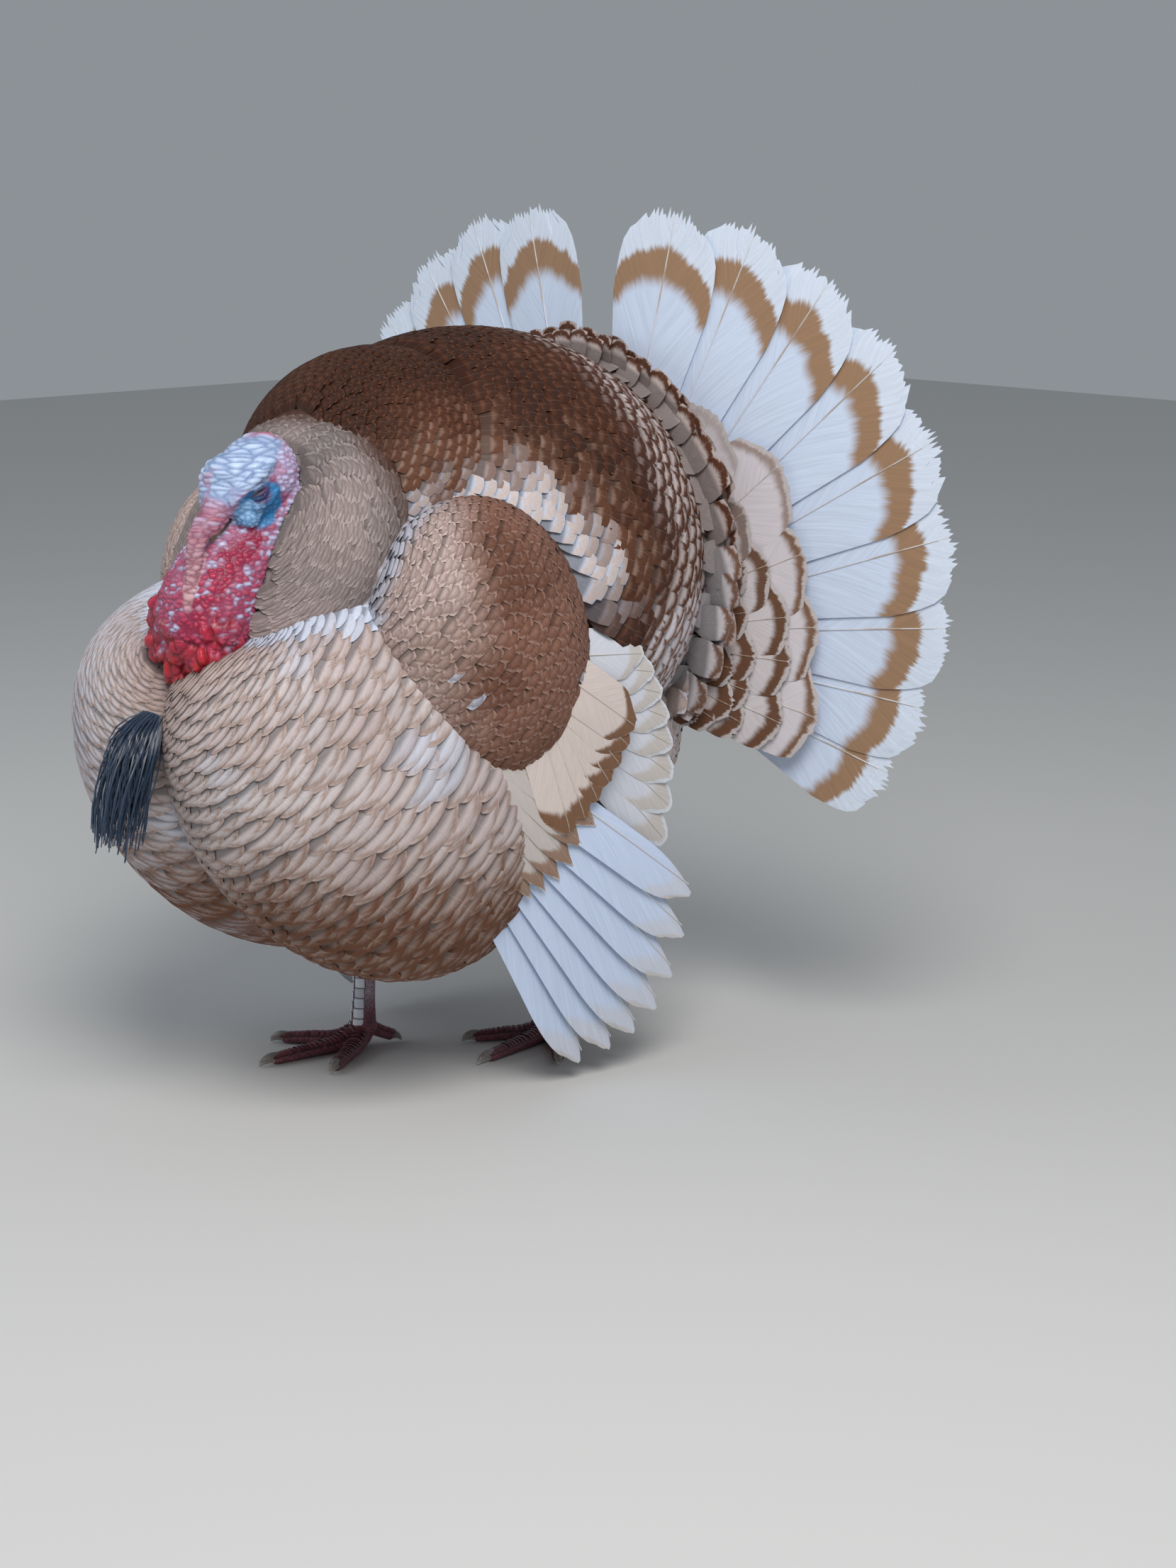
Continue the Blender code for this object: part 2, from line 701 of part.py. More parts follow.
def spur(side):
    """Horn spur on the inner back of the shank."""
    foot = FOOT[side]
    inward = 1 if side == "right" else -1
    return limb([
        (foot.x + inward * 0.003, foot.y + 0.004, 0.070, 0.0060, 0.0060),
        (foot.x + inward * 0.007, foot.y + 0.018, 0.072, 0.0045, 0.0045),
        (foot.x + inward * 0.010, foot.y + 0.030, 0.078, 0.0015, 0.0015),
    ], sides=6, steps=4, blunt=4.0)


def make_leg(side):
    """Feathered thigh, scaled shank with its spur, and the foot."""
    unite(f"shank_{side}", [shank_tube(side), spur(side)], "shank", 0.6)
    ankle = egg((FOOT[side].x, FOOT[side].y, 0.014), (0.0135, 0.0145, 0.0125), sides=8, rings=5)
    toes = [toe(side, share, heading) for share, heading in TOES.values()]
    foot = unite(f"foot_{side}", [ankle] + toes + [hind_toe(side)], "toe", 0.65)
    combine(foot, shank_tube(side, GAP), "DIFFERENCE")
    combine(foot, box((-0.5, -0.5, -0.1), (0.5, 0.5, 0.0)), "DIFFERENCE")
    thigh = part(f"thigh_{side}", thigh_mass(side), "buff")
    carve(thigh, shank_tube(side, GAP))


# ---------------------------------------------------------------- assembly
def make_body():
    """Breast, ruff, trunk and rump, each cut back to clear its neighbours."""
    breast = unite("breast", breast_lobes(), "buff")
    carve(breast, beard(GAP), *caruncle_bulbs(GAP), bare_neck(GAP), *leg_room())
    part("beard", beard(), "beard", 0.6)
    ruff = part("neck", ruff_mass()[0], "tan")
    carve(ruff, *breast_lobes(GAP), bare_neck(GAP), skull(GAP), *caruncle_bulbs(GAP))
    trunk = unite("trunk", trunk_masses(), "chestnut")
    carve(trunk, *breast_lobes(GAP), *ruff_mass(GAP), *shoulder_mass("left", GAP),
          *shoulder_mass("right", GAP), *leg_room(), fan_half_space(COVERT_FRONT + GAP, 1))
    rump = unite("rump", rump_masses(), "ivory")
    carve(rump, fan_half_space(COVERT_FRONT, -1),
          fan_slot(COVERT_FRONT + 0.02, -STACK_BACK - COVERT_T - 2 * GAP, 121.0))


make_body()
make_head()
for wing_side in ("left", "right"):
    make_wing(wing_side)
    make_leg(wing_side)
make_tail()


def stand_on_origin():
    """Put the middle of the whole bird's plan over the origin, its toes on z = 0."""
    bpy.context.view_layer.update()
    corners = [v.co for obj in PARTS.objects if obj.type == "MESH" for v in obj.data.vertices]
    low = [min(c[i] for c in corners) for i in range(3)]
    high = [max(c[i] for c in corners) for i in range(3)]
    ORIGIN.location = (-(low[0] + high[0]) / 2, -(low[1] + high[1]) / 2, -low[2])


stand_on_origin()
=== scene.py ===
# %% [markdown]
# # A domestic turkey tom in full strut
# This lesson dresses a life-size solid model of a strutting tom: bare wrinkled head, padded
# breast, ruffled back, drooped wings and the fanned tail. The solids give the outline. Here we
# lay a skin a little inside them and cover it with overlapping feathers made of real mesh.

# %% Tools and the solid frame
import math

import bmesh
import bpy
import numpy as np
from mathutils import Matrix, Vector, noise


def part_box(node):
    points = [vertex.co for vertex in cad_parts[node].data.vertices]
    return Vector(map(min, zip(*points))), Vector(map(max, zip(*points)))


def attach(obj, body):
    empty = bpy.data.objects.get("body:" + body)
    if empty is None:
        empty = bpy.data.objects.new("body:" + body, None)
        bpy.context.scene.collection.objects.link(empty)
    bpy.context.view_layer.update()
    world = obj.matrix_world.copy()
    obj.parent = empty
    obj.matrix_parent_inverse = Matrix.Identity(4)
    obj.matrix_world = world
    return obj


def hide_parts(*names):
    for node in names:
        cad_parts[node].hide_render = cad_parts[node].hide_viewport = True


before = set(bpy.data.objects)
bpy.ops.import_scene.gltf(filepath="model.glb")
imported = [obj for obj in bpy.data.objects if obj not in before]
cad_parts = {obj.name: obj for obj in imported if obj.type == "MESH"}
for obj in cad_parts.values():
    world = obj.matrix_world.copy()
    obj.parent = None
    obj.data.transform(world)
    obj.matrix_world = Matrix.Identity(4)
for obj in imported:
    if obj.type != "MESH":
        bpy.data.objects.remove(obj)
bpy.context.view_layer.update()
rng = np.random.default_rng(11)
print("solids loaded:", len(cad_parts))

# %% [markdown]
# ## Where things are
# The bird was designed about its own breast line and then slid so that the middle of its plan
# lies over the origin. The slide is found again from the left eye, whose design place is known.

# %% Design places
HEAD = np.array((0.030, -0.226, 0.556))
HEAD_PITCH = 40.0
HEAD_YAW = 4.0
EYE_SPOT = (0.0280, 0.014, 0.008)        # left eye in the head's frame: left, forward, up
EYE_R = 0.0088
SIDES = (("left", 1), ("right", -1))     # the bird's left is +X
FOOT = {"right": np.array((-0.063, -0.043, 0.0)), "left": np.array((0.040, 0.108, 0.0))}


def turned(pitch=0.0, yaw=0.0, roll=0.0):
    """Rotation matrix for angles in degrees: roll about Y, then pitch about X, then yaw about Z."""
    m = (
        Matrix.Rotation(math.radians(yaw), 3, "Z")
        @ Matrix.Rotation(math.radians(pitch), 3, "X")
        @ Matrix.Rotation(math.radians(roll), 3, "Y")
    )
    return np.array(m)


HEAD_TURN = turned(HEAD_PITCH, HEAD_YAW)


def head_point(x, y, z):
    """World place of a point given left, forward and up in the head's own frame."""
    return HEAD + SHIFT + HEAD_TURN @ np.array((x, -y, z))


SHIFT = np.zeros(3)
SHIFT = np.mean(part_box("eye_left"), axis=0) - head_point(*EYE_SPOT)
print("slide from the design place:", SHIFT.round(4))

# %% [markdown]
# ## Masses
# A strutting tom is a few big egg shapes run together. Each egg is kept as an exact ellipsoid,
# so that feathers can be rooted on it in smooth rows without any facet showing.

# %% Ellipsoids


def unit(v):
    """Vectors scaled to length one."""
    return v / np.maximum(np.linalg.norm(v, axis=-1, keepdims=True), 1e-9)


class Mass:
    """One egg-shaped mass of the body, in world metres."""

    def __init__(self, centre, radii, pitch=0.0, yaw=0.0, roll=0.0, dents=()):
        self.c = np.array(centre) + SHIFT
        self.r = np.array(radii)
        self.m = turned(pitch, yaw, roll)
        self.dents = dents

    def local(self, points):
        """Points in the space where the mass is a unit ball."""
        return (points - self.c) @ self.m / self.r

    def pressed(self, points, dent):
        """How deep one dent (its place, width and depth) presses the points in."""
        place, wide, deep = dent
        return deep * np.exp(-((np.linalg.norm(points - place - SHIFT, axis=-1) / wide) ** 2))

    def surface(self, ball):
        """World places of unit-ball points, pressed in at the dents."""
        points = self.c + (ball * self.r) @ self.m.T
        for dent in self.dents:
            points = points - self.normal(ball) * self.pressed(points, dent)[..., None]
        return points

    def normal(self, ball):
        """Outward normals at unit-ball points."""
        return unit((ball / self.r) @ self.m.T)

    def depth(self, points):
        """Rough depth of points under the surface, in metres; negative outside."""
        ball = self.local(points)
        far = np.maximum(np.linalg.norm(ball, axis=-1), 1e-6)
        under = (1.0 / far - 1.0) * np.linalg.norm(points - self.c, axis=-1)
        for dent in self.dents:
            under -= self.pressed(points, dent)
        return under


# %% Masses of the body
# The ruff and the shoulder press a dent into the top of each half of the breast.
LOBE = (0.132, 0.203, 0.147)
MASSES = {
    "breast_left": Mass((0.072, -0.150, 0.293), LOBE, pitch=-47, yaw=-4,
                        dents=[((0.070, -0.250, 0.440), 0.055, 0.034)]),
    "breast_right": Mass((-0.072, -0.150, 0.293), LOBE, pitch=-47, yaw=4,
                         dents=[((-0.060, -0.250, 0.440), 0.050, 0.026)]),
    "ruff": Mass((0.006, -0.157, 0.507), (0.118, 0.071, 0.152), pitch=-40),
    "dome_left": Mass((0.145, -0.076, 0.410), (0.082, 0.104, 0.136), pitch=14, roll=6),
    "dome_right": Mass((-0.145, -0.076, 0.410), (0.082, 0.104, 0.136), pitch=14, roll=-6),
    "back": Mass((0.0, 0.040, 0.462), (0.200, 0.222, 0.208), pitch=-8),
    "nape": Mass((0.0, -0.062, 0.528), (0.147, 0.117, 0.131)),
    "belly": Mass((0.0, 0.015, 0.285), (0.162, 0.172, 0.166)),
    "vent": Mass((0.0, 0.168, 0.312), (0.108, 0.092, 0.125), pitch=20),
    "vent_low": Mass((0.0, 0.110, 0.245), (0.120, 0.100, 0.115)),
}
for side, spot in FOOT.items():
    MASSES[f"thigh_{side}"] = Mass(
        (spot[0] * 1.1, spot[1] * 0.8 + 0.012, 0.170), (0.053, 0.062, 0.072))
print("masses:", ", ".join(MASSES))

# %% [markdown]
# ## The tail fan's surface
# All tail feathers and their coverts lie on one shallow cone. A point on it is given by its
# angle from straight up, its reach from the tail's root, and how far ahead of the cone it lies.

# %% Fan places
TAIL_ROOT = np.array((0.0, 0.196, 0.374))
TAIL_SWEEP = 0.11                        # how far the cone's sides lean back, per metre out
TAIL_YAW = 5.0
TAIL_LAYER = 0.0016                      # each feather lies this far behind the one before
TAIL_PER_SIDE = 9
TAIL_FIRST, TAIL_LAST = 13.0, 107.0      # angles of a side's first and last feather
TAIL_LONG, TAIL_MIDDLE, TAIL_SHORT = 0.424, 0.406, 0.330
TAIL_TURN = 50.0                         # past this angle the feathers grow shorter
TAIL_WIDE = 0.108
FAN_TURN = turned(yaw=TAIL_YAW)


def fan_point(angle, reach, ahead):
    """World places on the fan; angle in degrees from straight up, + to the bird's left."""
    a = np.radians(angle)
    x = np.sin(a) * reach
    y = TAIL_SWEEP * np.abs(np.sin(a)) * reach - ahead
    flat = np.stack(np.broadcast_arrays(x, y, np.cos(a) * reach), axis=-1)
    return TAIL_ROOT + SHIFT + flat @ FAN_TURN.T


def fan_ahead(points):
    """How far points lie ahead of the fan's surface, in metres."""
    flat = (points - TAIL_ROOT - SHIFT) @ FAN_TURN
    return TAIL_SWEEP * np.abs(flat[:, 0]) - flat[:, 1]


print("tail feathers in the fan:", 2 * TAIL_PER_SIDE)

# %% [markdown]
# ## Colours
# Every colour is a plain pigment mixed in linear light. Feathers and the skin under them ask
# the same function for their pigment, so a gap between feathers never shows a wrong colour.

# %% Pigments
WHITE = (0.68, 0.78, 0.96)
CREAM = (0.70, 0.61, 0.59)
BEIGE = (0.56, 0.435, 0.405)
TAN = (0.34, 0.225, 0.175)
GREY_TAN = (0.215, 0.185, 0.180)
BROWN = (0.158, 0.066, 0.036)
RUSSET = (0.27, 0.127, 0.084)
CHESTNUT = (0.084, 0.026, 0.0115)
DARK = (0.035, 0.015, 0.010)
print("brightest to darkest pigment:", WHITE, DARK)

# %% Mixing tools


def mix(a, b, t):
    """Blend of colours a and b; t may be an array."""
    t = np.clip(np.asarray(t, float), 0.0, 1.0)[..., None]
    return np.asarray(a) * (1 - t) + np.asarray(b) * t


def ease(low, high, x):
    """Smooth step from 0 at low to 1 at high; low may be the larger."""
    t = np.clip((np.asarray(x, float) - low) / (high - low), 0.0, 1.0)
    return t * t * (3 - 2 * t)


def wander(points, scale, seed=0.0):
    """Smooth noise, about -1 to 1, at the points."""
    shift = Vector((seed, seed * 1.7, 0.3))
    return np.array([noise.noise(Vector(p * scale) + shift) for p in points])


def even(like, value):
    """The same value for every feather."""
    return np.full(len(like), value)


print("half way between white and dark:", mix(WHITE, DARK, 0.5).round(2))

# %% [markdown]
# ## Markings
# Each tract has its own rule for what a feather looks like at a place on the body: its base
# colour, the band near its end, the tip, and how wide band and tip are. One rule for a whole
# tract, with slow noise in it, gives neighbours that differ a little, as real ones do. Painting
# each feather by hand would take days, and random colours would look like confetti.

# %% Markings of the front


def breast_marks(p, drift):
    """Buff breast: fine and greyish at the throat, browner edges low down and on the flank."""
    throat = np.linalg.norm(p - np.array((0.0, -0.27, 0.43)), axis=1)
    low = ease(0.30, 0.19, p[:, 2] + 0.03 * drift - 0.12 * np.maximum(p[:, 1] + 0.10, 0.0))
    cream = mix(CREAM, BEIGE, 0.45 + 0.9 * drift)
    base = mix(mix(BEIGE, cream, ease(0.03, 0.11, throat)), TAN, 0.80 * low)
    white = ease(0.20, 0.40, wander(p, 15.0, 5.0)) * ease(0.08, 0.14, throat) * (1 - 0.6 * low)
    base = mix(base, WHITE, 0.50 * white)
    # Towards -X, the bird's right side, the base is painted lighter: painted light on that side.
    base = mix(base, WHITE, 0.35 * ease(0.0, -0.08, p[:, 0])) * 0.88
    base = mix(base, WHITE, 0.08 * ease(0.06, 0.12, throat) * (1 - low))
    band = mix(mix(TAN, BROWN, 0.15 + 0.95 * low), base, 0.12 * (1 - low) + 0.40 * white)
    return dict(base=base, band=band, tip=mix(band, CREAM, 0.35 * (1 - low)),
                band_w=0.115 + 0.15 * low, tip_w=even(low, 0.015))


def ruff_marks(p, drift):
    """Tan-grey lower neck that darkens backwards and upwards into the mantle."""
    head = np.linalg.norm(p - np.array((0.02, -0.24, 0.50)), axis=1)
    back = ease(0.118, 0.160, head + 0.02 * drift + 0.70 * np.maximum(p[:, 2] - 0.565, 0.0))
    base = mix(mix(GREY_TAN, BEIGE, 0.18 + 0.5 * drift), mix(CHESTNUT, DARK, 0.3 + drift), back)
    return dict(base=base, band=mix(base, DARK, 0.30), tip=mix(base, CREAM, 0.15 * (1 - back)),
                band_w=even(back, 0.14), tip_w=even(back, 0.06))


# %% Markings of the back and shoulders


def mantle_marks(p, drift):
    """Chestnut back with dark tips: white down over the shoulders, white bars before the tail."""
    ahead = fan_ahead(p + SHIFT)
    bars = ease(0.175, 0.115, ahead + 0.015 * drift - 0.35 * np.maximum(0.50 - p[:, 2], 0.0))
    dome = np.maximum(MASSES["dome_left"].depth(p + SHIFT), MASSES["dome_right"].depth(p + SHIFT))
    high = ease(0.43, 0.49, p[:, 2])
    down = ease(-0.040, -0.012, dome + 0.026 * wander(p, 52.0, 9.0)) * high
    buff = ease(-0.090, -0.035, dome + 0.050 * wander(p, 60.0, 2.0)) * high
    base = mix(mix(CHESTNUT, BROWN, 0.30 + 1.4 * drift), CREAM, 0.72 * bars)
    base = mix(mix(base, TAN, 0.70 * buff), WHITE, 0.72 * down)
    band = mix(mix(DARK, CHESTNUT, 0.35 + 0.6 * drift), mix(CHESTNUT, BROWN, 0.4), 0.7 * bars)
    band = mix(mix(band, BROWN, 0.6 * buff), CREAM, 0.85 * down)
    tip = mix(mix(CHESTNUT, BROWN, 0.6), CREAM, 0.6 * bars)
    skirt = ease(0.475, 0.430, p[:, 2] + 0.020 * drift) * ease(0.200, 0.150, ahead)
    base = mix(base, mix(CREAM, WHITE, 0.3), 0.9 * skirt)
    band = mix(band, mix(TAN, BROWN, 0.6), 0.8 * skirt)
    return dict(base=base, band=band, tip=mix(tip, WHITE, 0.7 * down),
                band_w=0.24 - 0.05 * bars - 0.05 * skirt, tip_w=0.02 + 0.02 * bars)


def dome_marks(p, drift):
    """Shoulder: beige in front, chestnut behind and below, with a few white spots."""
    behind = ease(-0.178, -0.120, p[:, 1] + 0.025 * drift - 0.15 * (p[:, 2] - 0.42))
    rear = mix(RUSSET, CHESTNUT, 0.15 + 1.0 * drift)
    base = mix(mix(BEIGE, TAN, 0.3 + drift), rear, 0.95 * behind)
    spots = (wander(p, 60.0, 3.0) > 0.47) & (p[:, 2] < 0.42)
    base = mix(base, WHITE, 0.6 * spots)
    return dict(base=base, band=mix(base, CHESTNUT, 0.5), tip=mix(base, CREAM, 0.10),
                band_w=even(behind, 0.20), tip_w=even(behind, 0.03))


def vent_marks(p, drift):
    """Fluffy pale feathers under the tail and on the thighs."""
    base = mix(CREAM, BEIGE, 0.5 + 0.5 * drift)
    return dict(base=base, band=mix(base, TAN, 0.7), tip=mix(base, WHITE, 0.4),
                band_w=even(drift, 0.12), tip_w=even(drift, 0.05))


# %% The marking of any feather
MARKS = {"breast": breast_marks, "ruff": ruff_marks, "back": mantle_marks, "nape": mantle_marks,
         "dome": dome_marks, "belly": breast_marks, "vent": vent_marks, "thigh": vent_marks}


SEAM_WHITE = {"breast": 0.8, "dome": 0.55}      # white down shows where the ruff meets these


def plumage(points, mass_name):
    """The pigments and band widths of feathers rooted at the points of one mass."""
    p = points - SHIFT
    kind = mass_name.split("_")[0]
    drift = wander(p, 16.0)
    marks = MARKS[kind](p, drift)
    if kind == "back":
        behind = ease(0.0, -0.010, fan_ahead(points))
        for key, fluff in vent_marks(p, drift).items():
            share = behind if fluff.ndim == 1 else behind[:, None]
            marks[key] = marks[key] * (1 - share) + fluff * share
    if kind in SEAM_WHITE:
        near = MASSES["ruff"].depth(points) + 0.012 * wander(p, 50.0, 6.0)
        seam = SEAM_WHITE[kind] * ease(-0.030, -0.008, near) * ease(0.40, 0.43, p[:, 2])
        for key in ("base", "band", "tip"):
            marks[key] = mix(marks[key], WHITE, seam)
    return marks


middle = plumage(MASSES["breast_left"].c[None] + (0, -0.15, 0), "breast_left")
print("base colour in the middle of the breast:", middle["base"].round(2)[0])

# %% [markdown]
# ## Materials made of nodes
# A feather's colour follows its own length and width: a base, a darker band near the end, and a
# thin tip. The vane's place is read from its own map and the three pigments from attributes,
# so one material serves every feather of a kind.

# %% Node helpers


class Nodes:
    """A small helper that adds shader nodes and joins them."""

    def __init__(self, name):
        self.mat = bpy.data.materials.new(name)
        self.mat.use_nodes = True
        self.tree = self.mat.node_tree
        self.shader = self.tree.nodes["Principled BSDF"]

    def feed(self, socket, value):
        """Join a socket to another, or set it."""
        if isinstance(value, bpy.types.NodeSocket):
            self.tree.links.new(value, socket)
        elif value is not None:
            socket.default_value = value

    def add(self, kind, feeds=()):
        """A new node with its sockets fed; feeds pairs a socket's name or number with a value."""
        node = self.tree.nodes.new("ShaderNode" + kind)
        for socket, value in feeds:
            self.feed(node.inputs[socket], value)
        return node

    def math(self, kind, *values):
        """Arithmetic on numbers."""
        node = self.add("Math", enumerate(values))
        node.operation = kind
        return node.outputs[0]

    def step(self, low, high, value):
        """Smooth step from 0 at low to 1 at high."""
        node = self.add("MapRange", (("Value", value), ("From Min", low), ("From Max", high)))
        node.interpolation_type = "SMOOTHSTEP"
        return node.outputs[0]

    def mix(self, share, a, b, kind="MIX"):
        """Blend of two colours."""
        node = self.add("Mix")
        node.data_type = "RGBA"
        node.blend_type = kind
        for number, value in zip((0, 6, 7), (share, a, b)):
            self.feed(node.inputs[number], (*value, 1.0) if isinstance(value, tuple) else value)
        return node.outputs[2]

    def shaded(self, colour, shade):
        """A colour made lighter or darker by a factor."""
        return self.mix(1.0, colour, self.join(shade, shade, shade), "MULTIPLY")

    def attribute(self, name, output="Color"):
        """A value stored on the mesh."""
        node = self.add("Attribute")
        node.attribute_name = name
        return node.outputs[output]

    def vane(self):
        """How far across and along its own feather or scale a point lies, each 0 to 1."""
        node = self.add("UVMap")
        node.uv_map = "Vane"
        return self.split(node.outputs[0])[:2]

    def split(self, vector):
        """The three parts of a vector."""
        return self.add("SeparateXYZ", ((0, vector),)).outputs

    def join(self, *parts):
        """A vector from its parts."""
        return self.add("CombineXYZ", enumerate(parts)).outputs[0]

    def noise(self, vector, scale, detail=2.0, rough=0.5):
        """Cloudy noise."""
        feeds = (("Vector", vector), ("Scale", scale), ("Detail", detail), ("Roughness", rough))
        return self.add("TexNoise", feeds).outputs["Fac"]

    def cells(self, vector, scale):
        """Distance to the middle of the nearest of many small cells."""
        return self.add("TexVoronoi", (("Vector", vector), ("Scale", scale))).outputs["Distance"]

    def place(self):
        """Place on the object, in metres."""
        return self.add("TexCoord").outputs["Object"]

    def finish(self, colour, rough, height=None, strength=0.4, deep=0.001, **constants):
        """Feed the shader. A number that is the same all over is set on its own socket."""
        self.feed(self.shader.inputs["Base Color"], colour)
        self.feed(self.shader.inputs["Roughness"], rough)
        for name, value in constants.items():
            self.shader.inputs[name.replace("_", " ")].default_value = value
        if height is not None:
            feeds = (("Strength", strength), ("Distance", deep), ("Height", height))
            self.feed(self.shader.inputs["Normal"], self.add("Bump", feeds).outputs[0])
        return self.mat


print("node helpers:", ", ".join(name for name in vars(Nodes) if name[0] != "_"))

# %% [markdown]
# ## The feather's surface
# A vane is hundreds of barbs that slant off a shaft. Modelling them would need millions of
# faces, so the barbs are a fine slanting grain in colour and relief, and only the vane's
# outline, thickness and bend are real mesh.

# %% Feather material


def feather_material(name, barbs, curve=0.35, soft=0.06, rough=0.62, down=0.30, shaft=0.03,
                     quill=0.10, relief=0.4, streak=0.34, shadow_span=(0.02, 0.04), dim=0.5):
    """A vane: base, band and tip pigments, fine slanting barbs, a pale shaft and a downy foot.

    barbs is how many barbs run along it, curve how round its bands are and soft how blurred;
    shaft and quill are the shaft's width and strength; the share that lies under the row before is
    darkened by a painted shadow as deep as dim, which fades out between the two shares of its span.
    """
    n = Nodes(name)
    u, v = n.vane()
    side = n.math("ABSOLUTE", n.math("MULTIPLY_ADD", u, 2.0, -1.0))
    band_w, tip_w, seed = n.split(n.attribute("marks", "Vector"))
    slant = n.math("SUBTRACT", v, n.math("MULTIPLY", side, 0.30))
    barb_place = n.join(n.math("MULTIPLY", side, 1.4), n.math("MULTIPLY", slant, barbs), seed)
    grain = n.noise(barb_place, 1.0, 2.0, 0.65)
    blotch = n.noise(n.join(side, n.math("MULTIPLY", slant, 6.0), seed), 1.6)

    square = n.math("MULTIPLY", n.math("MULTIPLY", side, side), curve)
    reach = n.math("ADD", n.math("MULTIPLY", v, 1.0 - curve * 0.55), square)
    for pattern, strength in ((blotch, 2.0), (grain, 1.6)):
        blur = n.math("MULTIPLY", n.math("SUBTRACT", pattern, 0.5), soft * strength)
        reach = n.math("ADD", reach, blur)
    reach = n.math("ADD", reach, curve * 0.28)
    colour, start = n.attribute("base"), 1.0
    edges = []
    for pigment, width, blur in (("tip", tip_w, soft * 0.5), ("band", band_w, soft)):
        start = n.math("SUBTRACT", start, width)
        from_place, to_place = n.math("SUBTRACT", start, blur), n.math("ADD", start, blur)
        edges.append((pigment, n.step(from_place, to_place, reach)))
    for pigment, inside in reversed(edges):
        colour = n.mix(inside, colour, n.attribute(pigment))

    foot = n.step(down, 0.02, v)
    colour = n.mix(n.math("MULTIPLY", foot, 0.2), colour, (0.50, 0.47, 0.45))
    shade = n.math("MULTIPLY_ADD", grain, streak, 1.0 - streak / 2)
    # Painted shadow: the vane is darker where the row before lies over it, fading out along it.
    row_shadow = n.math("MULTIPLY_ADD", n.step(*shadow_span, v), dim, 1.0 - dim)
    colour = n.shaded(colour, n.math("MULTIPLY", shade, row_shadow))
    on_shaft = n.step(shaft, shaft * 0.4, side)
    colour = n.mix(n.math("MULTIPLY", on_shaft, quill), colour, (0.72, 0.66, 0.58))
    height = n.math("ADD", grain, n.math("MULTIPLY", on_shaft, 0.8))
    return n.finish(colour, rough, height, relief, 0.0006, Specular_IOR_Level=0.18)


SMALL_COAT = feather_material("small_feathers", 9.0, soft=0.06, rough=0.75, relief=0.3, streak=0.5,
                              shadow_span=(0.52, 0.80), dim=0.35)
BODY_COAT = feather_material("body_feathers", 18.0, soft=0.15, rough=0.68, streak=0.45,
                             shadow_span=(0.58, 0.76), dim=0.52)
BACK_COAT = feather_material("back_feathers", 18.0, curve=0.12, soft=0.07, rough=0.68, streak=0.45,
                             shadow_span=(0.58, 0.72), dim=0.55)
LONG_VANE = feather_material("long_feathers", 60.0, curve=0.10, soft=0.026, rough=0.5, down=0.12,
                             shaft=0.018, quill=0.5)
print("feather materials ready")

# %% [markdown]
# ## Thin closed vanes
# A feather is a very thin lens: two curved faces that share one rim. One flat shape could be
# copied all over the body, but its corners would poke out of the coat where the body curves.
# So each feather starts as its own grid of points, bent to its place, and is closed here.

# %% Vane grids


def net(rows, columns, left=0.0):
    """Places across (from left to 1) and along (0 to 1) a net of points."""
    v, u = np.meshgrid(np.linspace(0, 1, rows), np.linspace(left, 1, columns), indexing="ij")
    return u, v


def lens(points, thickness):
    """Close one grid of points (rows, columns, 3), or many, into thin lenses.

    Returns the vertices, the faces of one lens, and each vertex's place across and along it.
    """
    rows, columns = points.shape[-3:-1]
    along_row = np.gradient(points, axis=-2)
    along_length = np.gradient(points, axis=-3)
    half = unit(np.cross(along_row, along_length)) * thickness[..., None] / 2
    upper, lower = points + half, points - half
    number = np.arange(rows * columns).reshape(rows, columns)
    below = number.copy()
    inner = (rows - 2) * (columns - 2)
    below[1:-1, 1:-1] = rows * columns + np.arange(inner).reshape(rows - 2, columns - 2)
    rim = np.ones((rows, columns), bool)
    rim[1:-1, 1:-1] = False
    upper[..., rim, :] = points[..., rim, :]
    row_of_points = (*points.shape[:-3], -1, 3)
    inside = lower[..., 1:-1, 1:-1, :]
    verts = np.concatenate((upper.reshape(row_of_points), inside.reshape(row_of_points)), axis=-2)
    flat = np.stack(net(rows, columns), axis=-1)
    place = np.concatenate((flat.reshape(-1, 2), flat[1:-1, 1:-1].reshape(-1, 2)))

    def quads(n):
        return np.stack((n[:-1, :-1], n[:-1, 1:], n[1:, 1:], n[1:, :-1]), axis=-1).reshape(-1, 4)

    return verts, np.concatenate((quads(number), quads(below)[:, ::-1])), place


print("a net of 3 rows and 4 columns:", net(3, 4)[0].size, "points")

# %% Rings and tubes


def around(first, second, sides):
    """Rings of points, each in the plane of one vector of first and one of second."""
    turn = np.linspace(0, 2 * math.pi, sides, endpoint=False)[:, None]
    return first[:, None] * np.cos(turn) + second[:, None] * np.sin(turn)


def wall(rings, sides):
    """Faces between rings of points, each point's number, and the number of the next one round."""
    number = np.arange(rings * sides).reshape(rings, sides)
    after = np.roll(number, -1, axis=1)
    faces = np.stack((number[:-1], after[:-1], after[1:], number[1:]), axis=-1)
    return faces.reshape(-1, 4).tolist(), number, after


def tube(path, radii, sides=5):
    """A closed thin tube along a path, given as lens gives a vane."""
    ahead = unit(np.gradient(path, axis=0))
    across = unit(np.cross(ahead, np.array((0.31, 0.52, 0.79))))
    ring = around(across, np.cross(ahead, across), sides)
    verts = (path[:, None] + ring * radii[:, None, None]).reshape(-1, 3)
    faces, number, _ = wall(len(path), sides)
    faces += [number[0, ::-1].tolist(), number[-1].tolist()]
    along = np.repeat(np.linspace(0, 1, len(path)), sides)
    return verts, faces, np.stack((np.full(len(verts), 0.5), along), axis=-1)


